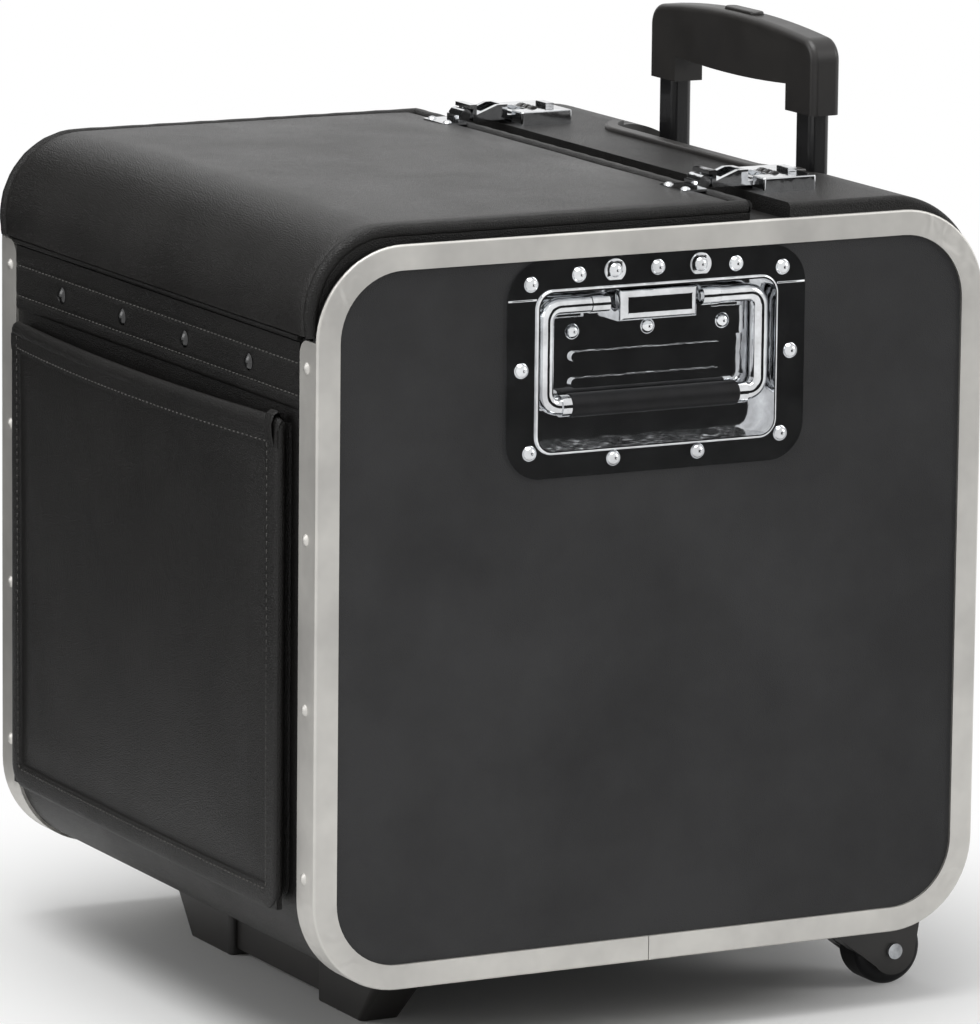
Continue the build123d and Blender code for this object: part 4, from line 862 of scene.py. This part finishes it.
class CASE_OT_dial_numbers(bpy.types.Operator):
    """Plain numbers 0 to 9 round each combination dial"""

    bl_idname = "case.dial_numbers"
    bl_label = "Dial numbers"

    def execute(self, context):
        for side in ("right", "left"):
            for number in (1, 2, 3):
                low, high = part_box(f"lock_dial_{number}_{side}")
                middle = [(a + b) / 2 for a, b in zip(low, high)]
                radius = (high[2] - low[2]) / 2
                digits = []
                for digit in range(10):
                    deselect()
                    bpy.ops.object.text_add()
                    text = bpy.context.object
                    text.data.body = str(digit)
                    text.data.size = DIAL_DIGIT_SIZE
                    text.data.align_x, text.data.align_y = "CENTER", "CENTER"
                    text.data.extrude = 0.06 * MM
                    text.data.resolution_u = 2
                    bpy.ops.object.convert(target="MESH")
                    text = bpy.context.object
                    turn = 2 * pi * digit / 10
                    lift = Matrix.Translation(middle) @ Matrix.Rotation(-turn, 4, "X")
                    text.data.transform(lift @ Matrix.Translation((0, 0, radius + 0.02 * MM)))
                    digits.append(text)
                piece = joined(f"dial_numbers_{number}_{side}", digits)
                settle(piece, f"dial_{number}_{side}", "chrome", "zinc_plate")
        return {"FINISHED"}


# Stage


class CASE_OT_stage(bpy.types.Operator):
    """Pale floor, soft lamps and the camera"""

    bl_idname = "case.stage"
    bl_label = "Stage"

    def execute(self, context):
        deselect()
        bpy.ops.mesh.primitive_plane_add(size=14)
        floor = bpy.context.object
        floor.name = "floor"
        material = bpy.data.materials.new("painted_floor")
        material.use_nodes = True
        tree = material.node_tree
        shader = tree.nodes["Principled BSDF"]
        shader.inputs["Base Color"].default_value = linear("#f4f4f3")
        shader.inputs["Roughness"].default_value = 0.8
        shader.inputs["Specular IOR Level"].default_value = 0.1
        place = put(tree, "TexCoord").outputs["Object"]
        away = put(tree, "VectorMath", {0: place}, operation="LENGTH")
        far = put(tree, "MapRange", {"Value": away.outputs["Value"], "From Min": 0.16, "From Max": 0.46},
                  interpolation_type="SMOOTHSTEP")
        path = put(tree, "LightPath")
        seen = put(tree, "Math", {0: path.outputs["Is Camera Ray"], 1: path.outputs["Is Glossy Ray"]},
                   operation="MAXIMUM")
        fade = put(tree, "Math", {0: far.outputs["Result"], 1: seen.outputs["Value"]}, operation="MULTIPLY")
        glow = put(tree, "Emission", {"Color": (1, 1, 1, 1), "Strength": 1.0})
        mix = put(tree, "MixShader", {0: fade.outputs["Value"], 1: shader.outputs["BSDF"],
                                      2: glow.outputs["Emission"]})
        tree.links.new(mix.outputs["Shader"], tree.nodes["Material Output"].inputs["Surface"])
        floor.data.materials.append(material)

        world = context.scene.world or bpy.data.worlds.new("studio")
        context.scene.world = world
        world.use_nodes = True
        tree = world.node_tree
        tree.nodes.clear()
        path = put(tree, "LightPath")
        seen = put(tree, "Math", {0: path.outputs["Is Camera Ray"], 1: path.outputs["Is Glossy Ray"]},
                   operation="MAXIMUM")
        seen = put(tree, "Math", {0: seen.outputs["Value"], 1: path.outputs["Is Transmission Ray"]},
                   operation="MAXIMUM")
        soft = put(tree, "Background", {"Color": (1, 1, 1, 1), "Strength": 0.3})
        white = put(tree, "Background", {"Color": (1, 1, 1, 1), "Strength": 1.0})
        mix = put(tree, "MixShader", {0: seen.outputs["Value"], 1: soft.outputs["Background"],
                                      2: white.outputs["Background"]})
        put(tree, "OutputWorld", {"Surface": mix.outputs["Shader"]})

        # Dark flags that only reflections see, as the unlit sides of a studio: one for the plated fittings
        # of the end, two for the front and the bend of the lid
        dark = bpy.data.materials.new("black_flag")
        dark.use_nodes = True
        dark.node_tree.nodes["Principled BSDF"].inputs["Base Color"].default_value = linear("#0a0a0a")
        dark.node_tree.nodes["Principled BSDF"].inputs["Roughness"].default_value = 1.0
        for name, middle, width, height, rotation in (
            ("right_flag", (1.15, 0.5, 0.28), 0.75, 0.56, (pi / 2, 0, pi / 2)),
            ("left_flag", (-1.4, -0.8, 0.65), 1.7, 1.3, (pi / 2, 0, pi / 2)),
            ("low_flag", (-0.85, -0.9, 0.002), 1.1, 1.3, (0, 0, 0)),
        ):
            deselect()
            bpy.ops.mesh.primitive_plane_add(size=1, location=middle, rotation=rotation)
            flag = bpy.context.object
            flag.name, flag.scale = name, (width, height, 1)
            flag.data.materials.append(dark)
            flag.visible_camera = flag.visible_diffuse = flag.visible_shadow = False
            flag.visible_transmission = flag.visible_volume_scatter = False

        aim = Vector((0, 0, 0.2))
        for name, place, size, power in (
            ("overhead", (0.2, -0.5, 2.6), 1.8, 52),
            ("front_left", (-1.2, -2.6, 1.3), 1.4, 14),
            ("right_rear", (1.6, 2.4, 1.7), 1.2, 16),
        ):
            lamp = bpy.data.lights.new(name, "AREA")
            lamp.shape, lamp.size, lamp.energy = "SQUARE", size, power
            holder = bpy.data.objects.new(name, lamp)
            context.scene.collection.objects.link(holder)
            holder.location = place
            holder.rotation_euler = (aim - Vector(place)).to_track_quat("-Z", "Y").to_euler()

        camera = bpy.data.cameras.new("camera")
        camera.lens, camera.sensor_width, camera.sensor_fit = 273.1, 36.0, "AUTO"
        camera.clip_start, camera.clip_end = 0.1, 50
        holder = bpy.data.objects.new("camera", camera)
        context.scene.collection.objects.link(holder)
        right, up, back = (0.4615, 0.8871, 0.0105), (-0.1712, 0.0774, 0.9822), (0.8705, -0.4551, 0.1876)
        turn = Matrix((right, up, back)).transposed().to_4x4()
        holder.matrix_world = Matrix.Translation((3.5985, -1.8681, 1.0171)) @ turn
        context.scene.camera = holder
        context.scene.view_settings.view_transform = "Standard"
        return {"FINISHED"}


class CASE_PT_pieces(bpy.types.Panel):
    """Buttons that make the case's pieces, and their sizes and colours"""

    bl_idname = "CASE_PT_pieces"
    bl_label = "Pilot case"
    bl_space_type = "VIEW_3D"
    bl_region_type = "UI"
    bl_category = "Pilot case"

    def draw(self, context):
        for operator in OPERATORS:
            self.layout.operator(operator.bl_idname)
        for group in (context.scene.case_sizes, context.scene.case_colours):
            for name in group.bl_rna.properties.keys():
                if name not in ("rna_type", "name"):
                    self.layout.prop(group, name)


OPERATORS = (
    CASE_OT_finishes, CASE_OT_lid, CASE_OT_hinge_strip, CASE_OT_pocket, CASE_OT_handle_details,
    CASE_OT_dial_numbers, CASE_OT_stage,
)
CLASSES = (CaseSizes, CaseColours) + OPERATORS + (CASE_PT_pieces,)


def register():
    for cls in CLASSES:
        bpy.utils.register_class(cls)
    bpy.types.Scene.case_sizes = bpy.props.PointerProperty(type=CaseSizes)
    bpy.types.Scene.case_colours = bpy.props.PointerProperty(type=CaseColours)


def unregister():
    del bpy.types.Scene.case_sizes
    del bpy.types.Scene.case_colours
    for cls in reversed(CLASSES):
        bpy.utils.unregister_class(cls)


def main():
    register()
    bpy.ops.case.finishes()
    bpy.ops.case.lid()
    bpy.ops.case.hinge_strip()
    bpy.ops.case.pocket()
    bpy.ops.case.handle_details()
    bpy.ops.case.dial_numbers()
    bpy.ops.case.stage()


if __name__ == "__main__":
    main()
